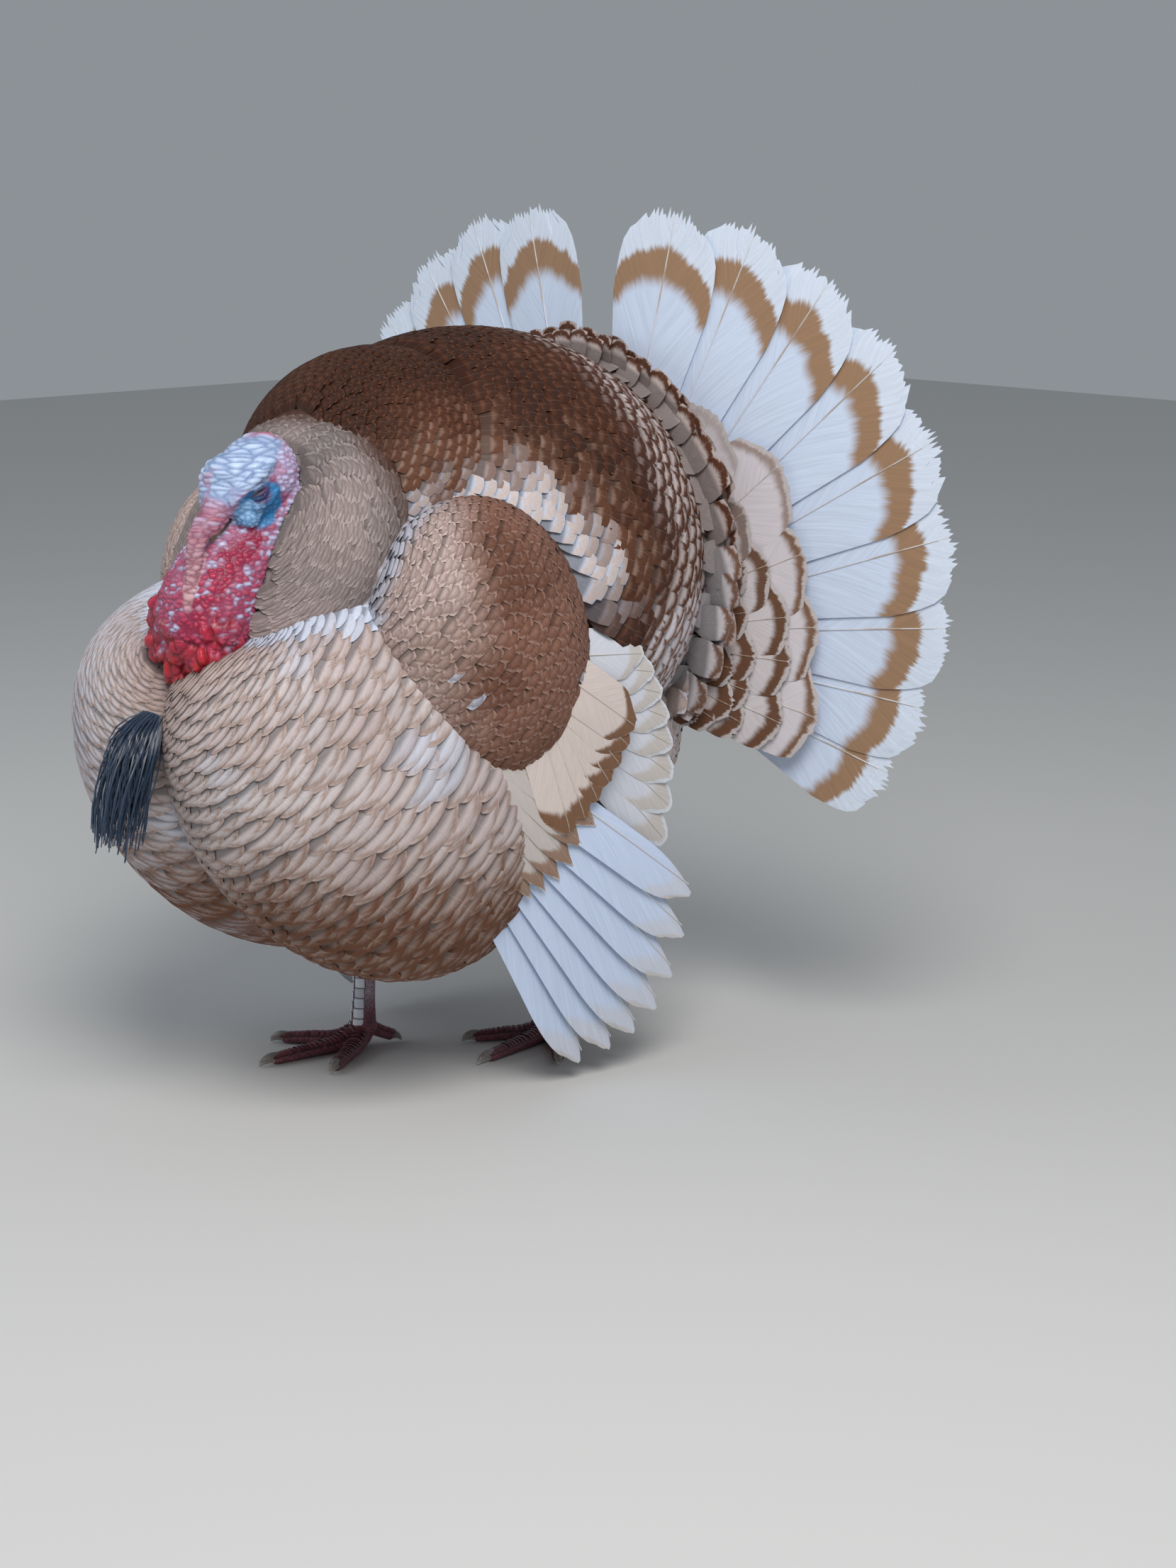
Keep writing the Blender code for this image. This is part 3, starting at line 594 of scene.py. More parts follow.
# %% [markdown]
# ## Many vanes in one mesh
# Thousands of separate objects would be slow to handle. All feathers of a tract are collected
# as arrays and written to one mesh at the end, each with its colours as attributes, its own
# map of the vane, and its own small patch on the map that colours are baked to.

# %% Bundles of vanes


class Bundle:
    """Collects many closed shapes and turns them into one mesh piece."""

    def __init__(self):
        self.verts, self.faces, self.place, self.bake, self.count = [], [], [], [], 0
        self.marks = {"base": [], "band": [], "tip": [], "marks": []}

    def add(self, shape, slot, base=CREAM, band=BROWN, tip=WHITE, band_w=0.1, tip_w=0.1, seed=0.0):
        """Add one shape. slot is its number among how many, for its own cell of the bake map."""
        verts, faces, place = shape
        self.verts.append(verts)
        self.faces += [tuple(i + self.count for i in face) for face in faces]
        self.place.append(place)
        number, total = slot
        across = max(int(math.ceil(math.sqrt(total * 3.0))), 1)
        down = int(math.ceil(total / across))
        cell = np.array((number % across, number // across))
        inside = 0.04 + 0.92 * np.clip(place, 0, 1)
        self.bake.append((cell + inside) / np.array((across, down)))
        for key, value in zip(self.marks, (base, band, tip, (band_w, tip_w, seed))):
            self.marks[key].append(np.tile(np.asarray(value, float), (len(verts), 1)))
        self.count += len(verts)

    def piece(self, name, material):
        """The finished piece."""
        mesh = bpy.data.meshes.new(name)
        mesh.from_pydata(np.concatenate(self.verts).tolist(), [], self.faces)
        corner = np.empty(len(mesh.loops), np.int32)
        mesh.loops.foreach_get("vertex_index", corner)
        for layer, values in (("Vane", self.place), ("OFBake", self.bake)):
            uv = mesh.uv_layers.new(name=layer)
            uv.data.foreach_set("uv", np.concatenate(values)[corner].astype(np.float32).ravel())
        for key, values in self.marks.items():
            layer = mesh.attributes.new(key, "FLOAT_VECTOR", "POINT")
            layer.data.foreach_set("vector", np.concatenate(values).astype(np.float32).ravel())
        return dressed(name, mesh, material)


# %% A finished piece
SHARP_EDGE = 1.0         # in radians: faces that turn more than this meet in a hard edge
PIECES = bpy.data.collections.new("turkey_looks")
bpy.context.scene.collection.children.link(PIECES)


def dressed(name, mesh, *materials, sharp=SHARP_EDGE):
    """An object for a finished mesh, smooth shaded, at the origin, on the part's one body."""
    obj = bpy.data.objects.new(name, mesh)
    PIECES.objects.link(obj)
    for material in materials:
        mesh.materials.append(material)
    mesh.polygons.foreach_set("use_smooth", np.ones(len(mesh.polygons), bool))
    if sharp:
        mesh.set_sharp_from_angle(angle=sharp)
    mesh.update()
    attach(obj, "root")
    print(f"{name}: {sum(len(p.vertices) - 2 for p in mesh.polygons)} triangles")
    return obj


print("a hard edge starts at", round(math.degrees(SHARP_EDGE)), "degrees")

# %% [markdown]
# ## Laying feathers in rows
# Feathers grow in tracts: staggered rows, each overlapping the next like roof tiles. On each
# egg the rows are rings about a pole, the place the feathers stream away from. The rings and
# the roots along them are spaced by real distance, so rows stay even where the egg curves.

# %% Bare places
BARE_RODS = [            # bare skin that carries no feathers: two ends and a radius
    ((0.028, -0.206, 0.548), (0.028, -0.232, 0.500), 0.037),
    ((0.028, -0.240, 0.490), (0.026, -0.258, 0.462), 0.043),
    ((0.024, -0.262, 0.455), (0.016, -0.278, 0.430), 0.036),
    ((0.028, -0.217, 0.566), (0.036, -0.250, 0.545), 0.025),
]
BULBS = [                # red bulbs round the neck's foot: centre and radius
    (-0.004, -0.277, 0.446, 0.025), (0.020, -0.284, 0.442, 0.025), (0.044, -0.274, 0.440, 0.024),
    (0.045, -0.271, 0.426, 0.020), (0.014, -0.286, 0.424, 0.020), (0.043, -0.282, 0.418, 0.020),
    (0.030, -0.290, 0.428, 0.018), (0.050, -0.277, 0.410, 0.015), (-0.008, -0.286, 0.424, 0.018),
]


def capsule_depth(points, start, end, radius):
    """Depth of points inside a round-ended rod."""
    a, b = np.array(start) + SHIFT, np.array(end) + SHIFT
    t = np.clip(((points - a) @ (b - a)) / max((b - a) @ (b - a), 1e-12), 0, 1)
    return radius - np.linalg.norm(points - a - t[:, None] * (b - a), axis=1)


print("bare rods and bulbs:", len(BARE_RODS), len(BULBS))

# %% Rows of roots


def rows(mass, pole, start, stop, row, across, loose):
    """Staggered roots about a pole, from start to stop in degrees.

    row and across list the spacing of the rows and of the roots in them, in metres, from the
    first row to the last. home is a root's place on an unwrap of the egg: round and down it.
    """
    axis = unit((np.array(pole) @ mass.m) / mass.r)
    first = unit(np.cross(axis, (0.2, 0.1, 1.0) if abs(axis[2]) < 0.8 else (1.0, 0.1, 0.2)))
    second = np.cross(axis, first)

    def ball(theta, phi):
        theta, phi = np.broadcast_arrays(theta, phi)
        ring = np.cos(phi)[:, None] * first + np.sin(phi)[:, None] * second
        return np.cos(theta)[:, None] * axis + np.sin(theta)[:, None] * ring

    full = np.linspace(0, 2 * math.pi, 73)
    nudge = 0.01         # a small angle, to measure how far the surface goes for it
    theta, number, found = math.radians(start), 0, []
    while theta < math.radians(stop):
        share = (theta - math.radians(start)) / math.radians(stop - start)
        loop = mass.surface(ball(theta, full))
        length = np.linalg.norm(np.diff(loop, axis=0), axis=1).sum()
        away = np.linalg.norm(mass.surface(ball(theta + nudge, full)) - loop, axis=1).mean() / nudge
        count = max(int(round(length / np.interp(share, np.linspace(0, 1, len(across)), across))), 4)
        step = np.interp(share, np.linspace(0, 1, len(row)), row) / away
        wobble = rng.uniform(-0.16, 0.16, count) * loose
        phi = 2 * math.pi * (np.arange(count) + 0.5 * (number % 2) + wobble) / count
        tilted = theta + step * rng.uniform(-0.18, 0.18, count) * loose
        here = ball(tilted, phi)
        root = mass.surface(here)
        flow = mass.surface(ball(tilted + nudge, phi)) - root
        beside = mass.surface(ball(tilted, phi + nudge)) - root
        out = unit(np.cross(flow, beside))
        out *= np.sign((out * mass.normal(here)).sum(axis=1, keepdims=True))
        found.append(dict(
            root=root, flow=unit(flow), out=out,
            row=np.linalg.norm(flow, axis=1) * step / nudge,
            across=np.linalg.norm(beside, axis=1) * (2 * math.pi / count) / nudge,
            home=np.stack((phi / (2 * math.pi) % 1.0, tilted / math.pi), axis=-1)))
        theta += step
        number += 1
    return {key: np.concatenate([ring[key] for ring in found]) for key in found[0]}


# %% [markdown]
# ## Bending each feather to the body
# A vane starts flat at its root, is projected onto its own egg so that it hugs the body, and is
# then lifted a little: its root is sunk in the skin, and its end rises over the row behind it
# and curls back down. Under the fan's face the feathers turn to follow the tail's spokes. On
# the bake map every vane is a tiny patch at its root's place, because all of a vane has nearly
# one colour, and a big map of thousands of full-size vanes would waste its room.

# %% Feather tracts
FAN_BACK = -(TAIL_LAYER * TAIL_PER_SIDE + 0.010)
FAN_FRONT = 0.012        # no feather is rooted between these two, in the fan itself
SIDE_ROLL = 0.012        # each feather leans a little, so that one edge lies over its neighbour
ROOT_DEPTH = 0.16        # how deep a root goes under the coat, as a share of the feather's length
VANE_THICK = 0.010       # thickness of a small vane, as a share of its length
VANE_WIDTH = 1.5         # breadth of a small vane, in gaps between roots
WAIST, NARROW = 0.4, 0.30            # breadth at its root, and how much its end tapers
BURIED = 0.005           # a root this deep in another egg grows no feather
PATCH = 0.003            # size of one feather's patch on the bake map


def growing(name, roots):
    """The roots that are on the outside, off the bare skin and clear of the tail fan.

    Each also gets splay, how far it follows the fan's face, and spoke, the way outward there.
    """
    root = roots["root"]
    clear = np.ones(len(root), bool)
    for other, body in MASSES.items():
        if other != name:
            clear &= body.depth(root) < BURIED
    for rod in BARE_RODS + [(bulb[:3], bulb[:3], bulb[3] + 0.003) for bulb in BULBS]:
        clear &= capsule_depth(root, *rod) < 0
    ahead = fan_ahead(root)
    flat = (root - TAIL_ROOT - SHIFT) @ FAN_TURN
    under_tail = np.degrees(np.arctan2(np.abs(flat[:, 0]), flat[:, 2])) > TAIL_LAST + 8
    clear &= (ahead > FAN_FRONT) | (ahead < FAN_BACK) | under_tail
    splay = ease(0.075, 0.012, ahead) * (ahead > 0) * ~under_tail
    spoke = unit(flat * np.array((1.0, 0.0, 1.0))) @ FAN_TURN.T
    roots = dict(roots, splay=splay[:, None], spoke=spoke)
    return {key: values[clear] for key, values in roots.items()}


print("no roots from", FAN_BACK, "to", FAN_FRONT, "m ahead of the fan")

# %% Bending the vanes


def tract(name, pole, start, stop, row, across, reach=2.7, stand=0.07, curl=0.02, loose=1.0,
          cells=(4, 6), rounding=0.08):
    """Feathers of one mass, each bent to it and rising from under the row before it.

    reach is a vane's length in rows. stand and curl lift its end and bend it down again, as
    shares of its length. loose is how much the feathers stray, cells the vane's grid across and
    along, and rounding how round its end is.
    """
    mass = MASSES[name]
    roots = growing(name, rows(mass, pole, start, stop, row, across, loose))
    root, splay = roots["root"], roots["splay"]
    flow = unit(roots["flow"] * (1 - splay) + roots["spoke"] * splay)
    out = unit(roots["out"] * (1 - splay) + np.array((0.0, -1.0, 0.0)) * splay)
    count = len(flow)
    length = (reach * roots["row"] * rng.uniform(0.92, 1.10, count))[:, None, None]
    wide = (VANE_WIDTH * roots["across"] * rng.uniform(0.92, 1.10, count))[:, None, None]
    beside = unit(np.cross(flow, out))
    yaw = (0.13 * wander(root, 18.0, 4.0) + rng.normal(0, 0.035 * loose, count))[:, None]
    ahead = flow * np.cos(yaw) + beside * np.sin(yaw)
    beside = beside * np.cos(yaw) - flow * np.sin(yaw)

    columns, steps = cells
    u, v = net(steps + 1, columns + 1, -1)
    half = 0.5 * (WAIST + (1 - WAIST) * ease(0.0, 0.40, v)) * np.sqrt(1 - NARROW * ease(0.62, 1.0, v))
    sideways = u * half * wide
    forward = (v - rounding * np.abs(u) ** 2.2 * v ** 3) * length
    flat = (root[:, None, None] + sideways[..., None] * beside[:, None, None]
            + forward[..., None] * ahead[:, None, None])
    ball = unit(mass.local(flat))
    splay = splay[:, None, None]
    place = mass.surface(ball) * (1 - splay) + flat * splay
    rising = unit(mass.normal(ball) * (1 - splay) + out[:, None, None] * splay)
    shown = 1 + (v - 1) * reach          # 0 where the vane comes out from under the row before
    lift = (0.02 * v - ROOT_DEPTH * (1 - ease(0.0, 0.45, v)) + stand * ease(-0.35, 0.60, shown)
            - curl * ease(0.5, 1.0, shown))
    ruffle = rng.uniform(-0.00015, 0.00015, count)[:, None, None] * v
    place = place + rising * (length * lift + SIDE_ROLL * sideways + ruffle)[..., None]
    verts, faces, vane = lens(place[:, :, ::-1], length * VANE_THICK * (1 - 0.6 * v))

    marks = plumage(root, name)
    fade = rng.uniform(0.93, 1.07, (count, 1))
    for key in ("base", "band", "tip"):
        marks[key] = marks[key] * fade
    seed = rng.uniform(0, 40, count)
    marks["marks"] = np.stack((marks.pop("band_w"), marks.pop("tip_w"), seed), axis=-1)
    return dict(verts=verts, faces=faces, vane=vane, home=roots["home"], marks=marks)


# %% One piece of coat


def lay(name, material, tracts):
    """The tracts' feathers as one piece of mesh, each with its small patch on the bake map."""
    bundle = Bundle()
    for number, laid in enumerate(tracts):
        count, size = laid["verts"].shape[:2]
        bundle.verts.append(laid["verts"].reshape(-1, 3))
        first = bundle.count + size * np.arange(count)[:, None, None]
        bundle.faces += (laid["faces"][None] + first).reshape(-1, 4).tolist()
        bundle.place.append(np.tile(laid["vane"], (count, 1)))
        home = (laid["home"] / (len(tracts), 1.0) + (number / len(tracts), 0.0)) * (1 - PATCH)
        bundle.bake.append((home[:, None] + laid["vane"] * PATCH).reshape(-1, 2))
        for key, values in laid["marks"].items():
            bundle.marks[key].append(np.repeat(values, size, axis=0))
        bundle.count += count * size
    return bundle.piece(name, material)


# %% [markdown]
# ## The coat
# Feathers stream from the throat over the breast, from the face over the ruff, from the nape
# over the back, and from the front of each shoulder over its dome. They are smallest near the
# bare skin and largest low on the breast and near the tail.

# %% Breast and shoulders
BREAST_ROWS = (0.0036, 0.0050, 0.0074, 0.0100, 0.0112, 0.0115, 0.0110, 0.0100)
BREAST_GAPS = (0.0100, 0.0160, 0.0240, 0.0340, 0.0410, 0.0430, 0.0380, 0.0300)
for side, s in SIDES:
    breast = tract(f"breast_{side}", (s * -0.056, -0.122, 0.112), 6, 168, BREAST_ROWS, BREAST_GAPS,
                   stand=0.082, curl=0.024, loose=0.9, cells=(10, 7), rounding=0.20)
    lay(f"coat_breast_{side}", BODY_COAT, [breast])
    dome = tract(f"dome_{side}", (s * -0.25, -0.62, 0.55), 6, 172, (0.0070, 0.0098),
                 (0.0100, 0.0150), stand=0.06)
    lay(f"coat_shoulder_{side}", BODY_COAT, [dome])

# %% Ruff and back
ruff = tract("ruff", (0.028, -0.075, 0.020), 6, 165, (0.0038, 0.0050), (0.0150, 0.0230), reach=3.2,
             curl=0.010, loose=0.6, cells=(8, 5))
lay("coat_ruff", SMALL_COAT, [ruff])
nape = tract("nape", (0.0, -0.70, 0.45), 8, 150, (0.0078, 0.0100), (0.0090, 0.0120), loose=0.8)
lay("coat_nape", BACK_COAT, [nape])
back = tract("back", (0.0, -0.85, 0.42), 14, 172, (0.0090, 0.0105, 0.0150, 0.0220, 0.0240),
             (0.0110, 0.0120, 0.0170, 0.0240, 0.0280), rounding=0.05)
lay("coat_back", BACK_COAT, [back])

# %% Belly and thighs
belly = tract("belly", (0.0, -0.60, -0.35), 5, 170, (0.0125, 0.0150), (0.0180, 0.0220), reach=3.0)
vent = tract("vent", (0.0, -0.40, -0.60), 5, 172, (0.0100, 0.0130), (0.0140, 0.0180), reach=3.4)
vent_low = tract("vent_low", (0.0, -0.50, -0.40), 5, 172, (0.0110, 0.0130), (0.0150, 0.0180),
                 reach=3.4)
thighs = [tract(f"thigh_{side}", (0.0, -0.1, 1.0), 20, 165, (0.0085, 0.0075), (0.0100, 0.0080),
                reach=3.0) for side in FOOT]
lay("coat_belly", BODY_COAT, [belly, vent, vent_low, *thighs])

# %% [markdown]
# ## Tail feathers
# Eighteen broad feathers open into the fan, the middle ones in front. Each is a grid bent onto
# the fan's cone: a narrow quill that widens into a rounded vane, with its end frayed where the
# barbs part. A pale shaft runs up the middle.

# %% Looks of a large feather


def feather(base, band, tip, band_w, tip_w):
    """The looks of one kind of large feather: three pigments and the widths of band and tip."""
    return dict(base=base, band=band, tip=tip, band_w=band_w, tip_w=tip_w)


RECTRIX = feather(WHITE, (0.365, 0.225, 0.135), (0.72, 0.80, 0.93), 0.100, 0.122)
FULL_WIDTH, END = 0.80, 0.86     # shares of its length where a vane is widest and starts to round off
VANE_DEEP = 0.0007
print("tail feather:", RECTRIX)

# %% One feather on the fan


def fan_feather(bundle, slot, marks, angle, root, length, wide, ahead, cells=(34, 18), fray=0.0055,
                lean=0.0012, arch=0.004, away=1, shaft=0.0016):
    """One feather on the fan, from its root's reach to its tip, with its shaft.

    cells is its grid across and along; fray is how ragged its end is. It lies ahead of the fan's
    surface, rolled by lean and bowed by arch; away is -1 for one seen from behind.
    """
    columns, steps = cells
    u, v = net(steps + 1, columns + 1, -1)
    v = v ** 0.8
    reach = root + (length - root) * v
    share = reach / length
    half = wide * 0.5 * (0.05 + 0.95 * np.minimum(share / FULL_WIDTH, 1.0) ** 1.25)
    end = np.maximum(share - END, 0.0) / (1 - END)
    half = half * np.sqrt(1.0 - 0.52 * end ** 2.6)
    offset = u * half
    notches = 0.5 * np.cos(np.arange(columns + 1) * math.pi)
    ragged = fray * (rng.uniform(-1.0, 0.6, columns + 1) + notches)
    drop = 0.13 * wide * end ** 2 * u ** 2 - ragged * ease(0.90, 1.0, v)
    turn = angle + np.degrees(offset / np.maximum(reach, 0.05))
    outer = u * (1 if angle >= 0 else -1)
    bow = arch * (v ** 3 * 0.6 - 0.25 * u * u * half / (wide * 0.5))
    points = fan_point(turn, np.hypot(reach, offset) - drop, ahead + lean * outer + bow)
    if away < 0:
        points = points[:, ::-1]
    seed = rng.uniform(0, 40)
    bundle.add(lens(points, VANE_DEEP * (1 - 0.5 * v)), slot, seed=seed, **marks)
    t = np.linspace(0.0, 0.96, 12)
    path = fan_point(angle, root + (length - root) * t, ahead + away * 0.0006 + arch * t ** 3 * 0.6)
    bundle.add(tube(path, shaft * (1 - 0.8 * t)), slot, seed=seed, **marks)


# %% Length and finished piece


def tail_length(angle):
    """Length of the tail feather at this angle."""
    inner = max(1.0 - (abs(angle) - TAIL_FIRST) / 22.0, 0.0)
    outer = max((abs(angle) - TAIL_TURN) / (TAIL_LAST - TAIL_TURN), 0.0)
    shorter = (TAIL_MIDDLE - TAIL_LONG) * inner ** 2 + (TAIL_SHORT - TAIL_LONG) * outer ** 1.3
    return TAIL_LONG + shorter


def large_feathers(name, bundle, slot, *nodes):
    """A finished piece of large feathers that takes the place of the given solids."""
    piece = bundle.piece(name, LONG_VANE)
    if nodes:
        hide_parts(*nodes)


# %% The tail
step = (TAIL_LAST - TAIL_FIRST) / (TAIL_PER_SIDE - 1)
for side, way in SIDES:
    tail = Bundle()
    for k in range(TAIL_PER_SIDE):
        angle = way * (TAIL_FIRST + step * k)
        fan_feather(tail, (k, TAIL_PER_SIDE), RECTRIX, angle, 0.035, tail_length(angle), TAIL_WIDE,
                    -(k + 1) * TAIL_LAYER)
    large_feathers(f"tail_feathers_{side}", tail, "tail_feather",
                   *[f"tail_{side}_{k + 1}" for k in range(TAIL_PER_SIDE)])

# %% [markdown]
# ## Tail coverts
# Tiers of shorter feathers hide the tail's root, in front and behind. The longest tier is
# beige with a thin brown band, and the inner tiers carry bold brown bars with white ends.

# %% Covert tiers
BAR_BASE, BAR_BAND, BAR_TIP = (0.68, 0.61, 0.60), (0.165, 0.080, 0.048), (0.60, 0.55, 0.54)
COVERT_TIERS = [    # reach, how many, widest angle, width, height ahead of the fan, looks
    (0.268, 13, 108.0, 0.096, 0.0045,
     feather((0.74, 0.70, 0.74), (0.24, 0.13, 0.080), BAR_TIP, 0.050, 0.04)),
    (0.224, 17, 112.0, 0.070, 0.0080,
     feather((0.72, 0.67, 0.69), (0.17, 0.085, 0.050), BAR_TIP, 0.085, 0.04)),
    (0.196, 21, 116.0, 0.050, 0.0115, feather(BAR_BASE, BAR_BAND, BAR_TIP, 0.11, 0.04)),
    (0.172, 25, 118.0, 0.042, 0.0150, feather(BAR_BASE, BAR_BAND, BAR_TIP, 0.13, 0.04)),
    (0.150, 29, 118.0, 0.036, 0.0185, feather(BAR_BASE, BAR_BAND, BAR_TIP, 0.14, 0.04)),
]
BACK_FACE = -(TAIL_LAYER * TAIL_PER_SIDE + 0.0022)
UNDER_TIERS = [
    (0.216, 13, 100.0, 0.074, BACK_FACE, feather(CREAM, TAN, WHITE, 0.09, 0.07)),
    (0.165, 13, 104.0, 0.062, BACK_FACE - 0.004, feather(CREAM, TAN, WHITE, 0.10, 0.08)),
    (0.120, 11, 104.0, 0.052, BACK_FACE - 0.008, feather(CREAM, BEIGE, WHITE, 0.08, 0.08)),
]


def covert_places(tiers):
    """Every covert of the tiers in turn: its slot, its place across its tier (-1 to 1), its tier."""
    total = sum(count for _, count, *_ in tiers)
    number = 0
    for tier in tiers:
        for k in range(tier[1]):
            yield (number, total), 2 * (k + 0.5) / tier[1] - 1, tier
            number += 1


print("coverts:", sum(tier[1] for tier in COVERT_TIERS + UNDER_TIERS))

# %% Tail and undertail coverts
coverts = Bundle()
for slot, across, (reach, _, span, wide, ahead, marks) in covert_places(COVERT_TIERS):
    angle = span * across
    pale = 0.60 * ease(70.0, 30.0, abs(angle))
    fan_feather(coverts, slot, dict(marks, band=mix(marks["band"], marks["base"], pale)),
                angle + rng.normal(0, 1.0), 0.02, reach * rng.uniform(0.94, 1.03), wide,
                ahead - 0.0022 * abs(across), (14, 12), fray=0.0016, lean=0.0008, shaft=0.0009)
large_feathers("tail_covert_feathers", coverts, "covert_feather", "tail_coverts")

under = Bundle()
for slot, across, (reach, _, span, wide, ahead, marks) in covert_places(UNDER_TIERS):
    fan_feather(under, slot, marks, span * across, 0.02, reach * rng.uniform(0.97, 1.02), wide, ahead,
                (12, 10), fray=0.0018, lean=0.0, arch=-0.005, away=-1, shaft=0.0009)
large_feathers("undertail_feathers", under, "undertail_feather", "undertail_coverts")

# %% [markdown]
# ## Wings
# A strutting tom drops his wings until the long outer feathers almost drag. Under the rounded
# shoulder hang three fans on each side: the tan inner feathers, the ivory ones below them, and
# the white outer ones with their thick cream shafts.

# %% Places and looks of the wing
WRIST = np.array((0.192, -0.135, 0.345))
ELBOW = np.array((0.196, -0.085, 0.425))
WING_CURL, WING_LAYER = 0.005, 0.0011        # how far the tips turn in, and one lies over the next
PRIMARY_TIPS = [(0.150, 0.036, 0.016), (0.158, 0.066, 0.024), (0.166, 0.090, 0.036),
                (0.174, 0.110, 0.056), (0.182, 0.122, 0.086), (0.189, 0.130, 0.124),
                (0.195, 0.133, 0.164)]
WING_OUT = unit(np.array((1.0, -0.15, 0.20)))
PRIMARY = feather((0.60, 0.70, 0.90), (0.62, 0.66, 0.76), (0.60, 0.58, 0.58), 0.1, 0.02)
SECONDARY = feather((0.68, 0.70, 0.77), (0.60, 0.56, 0.53), (0.70, 0.74, 0.80), 0.12, 0.04)
TERTIAL = feather((0.72, 0.62, 0.58), (0.22, 0.115, 0.065), (0.30, 0.17, 0.10), 0.13, 0.02)
HAND_COVERT = feather((0.60, 0.54, 0.51), (0.34, 0.22, 0.16), (0.60, 0.54, 0.50), 0.16, 0.04)


def sided(points, s):
    """Left-side design places put in the world, or mirrored to the right for s = -1."""
    points = points * np.array((s, 1.0, 1.0))
    if s < 0 and points.ndim == 3:
        points = points[:, ::-1]         # so that the faces still point outwards
    return points + SHIFT


print("first flight feather reaches to", PRIMARY_TIPS[0])

# %% One hanging feather


def straight_feather(bundle, slot, marks, s, root, tip, wide, bow=0.004, cells=(12, 18), waist=0.25,
                     taper=0.72, fray=0.0012, shaft=0.0016, pointed=0.90, skew=0.0):
    """A long feather from root to tip, with its shaft.

    Past the share taper it narrows, by pointed. skew moves the shaft to the leading edge.
    """
    root, tip = np.array(root, float), np.array(tip, float)
    length = np.linalg.norm(tip - root)
    axis = (tip - root) / length
    across = unit(np.cross(axis, WING_OUT))
    out = np.cross(across, axis)

    def breadth(v):
        """Half the vane's width before it tapers."""
        return 0.5 * wide * (waist + (1 - waist) * np.minimum(v / 0.25, 1.0) ** 0.7)

    columns, steps = cells
    u, v = net(steps + 1, columns + 1, -1)
    end = np.maximum(v - taper, 0) / (1 - taper)
    half = breadth(v) * np.sqrt(np.maximum(1 - pointed * end ** 2, 0.02))
    ragged = fray * rng.uniform(-1, 1, columns + 1)
    lengthwise = length * v - 0.35 * wide * u ** 2 * end ** 2 + ragged * ease(0.9, 1.0, v)
    arch = bow * np.sin(math.pi * v) - 0.10 * half * u * u
    sideways = half * u + skew * half * (1 - u * u)
    points = (root + axis * lengthwise[..., None] + across * sideways[..., None]
              + out * arch[..., None])
    seed = rng.uniform(0, 40)
    vane = lens(sided(points, s)[:, ::-1], 0.0008 * (1 - 0.4 * v))
    bundle.add(vane, slot, seed=seed, **marks)
    t = np.linspace(0.0, 0.97, 12)
    path = (root + axis * (length * t)[:, None] + across * (skew * breadth(t))[:, None]
            + out * (bow * np.sin(math.pi * t) + 0.0005)[:, None])
    bundle.add(tube(sided(path, s), shaft * (1 - 0.75 * t)), slot, seed=seed, **marks)


# %% A fan of them


def hung_fan(marks, s, base, outset, angles, reaches, count, wide, **looks):
    """Feathers fanned from one base; angles are in degrees below level, from first to last."""
    bundle = Bundle()
    for k in range(count):
        share = (k + 0.5) / count
        angle = math.radians(angles[0] + (angles[1] - angles[0]) * share)
        reach = reaches[0] + (reaches[1] - reaches[0]) * share
        way = np.array((0.0, math.cos(angle), -math.sin(angle)))
        lift = outset + WING_LAYER * (count / 2 - k)
        root = base + way * 0.03 + np.array((lift, 0, 0))
        tip = base + way * reach + np.array((lift - WING_CURL * (reach / 0.2) ** 2, 0, 0))
        straight_feather(bundle, (k, count), marks, s, root, tip, wide, **looks)
    return bundle


# %% The two wings
for side, s in SIDES:
    wing = f"wing_{side}_"
    primaries = Bundle()
    count = len(PRIMARY_TIPS)
    for k, tip in enumerate(PRIMARY_TIPS):
        spread = k / (count - 1)
        root = WRIST + np.array((-0.022 + 0.0026 * k, 0.030 * spread, -0.050 + 0.040 * spread))
        straight_feather(primaries, (k, count), PRIMARY, s, root, tip, 0.042, cells=(14, 22),
                         shaft=0.0022, skew=-0.45)
    large_feathers(wing + "primary_feathers", primaries, "flight_feather",
                   *[f"primary_{side}_{k + 1}" for k in range(count)])

    secondaries = hung_fan(SECONDARY, s, ELBOW - (0, 0, 0.012), -0.002, (3, 47), (0.150, 0.290), 8,
                           0.046, pointed=0.55, bow=0.002)
    large_feathers(wing + "secondary_feathers", secondaries, "flight_feather", wing + "secondaries")

    tertials = hung_fan(TERTIAL, s, ELBOW, 0.010, (30, 72), (0.162, 0.188), 7, 0.050, pointed=0.45,
                        bow=0.003)
    large_feathers(wing + "tertial_feathers", tertials, "tertial_feather", wing + "tertials")

    hand, count = Bundle(), 9
    for k in range(count):
        spread = k / (count - 1)
        root = WRIST + np.array((0.004, 0.004 + 0.034 * spread, -0.040 + 0.046 * spread))
        way = unit(np.array(PRIMARY_TIPS[min(k, len(PRIMARY_TIPS) - 1)]) - root)
        tip = root + way * (0.135 + 0.02 * math.sin(3 * spread))
        straight_feather(hand, (k, count), HAND_COVERT, s, root, tip, 0.030, bow=0.003,
                         cells=(8, 12), taper=0.55, pointed=0.96, shaft=0.0008)
    large_feathers(wing + "hand_coverts", hand, "flight_feather")

# %% [markdown]
# ## Flesh
# The skin is one closed surface. Its lumps are swept and ball shapes melted together on a fine
# grid: fine on the head, where every fold shows, medium on the legs, coarse under the feathers.
# On the real bird this is the body that carries the coat; it lies a feather's root deep inside.

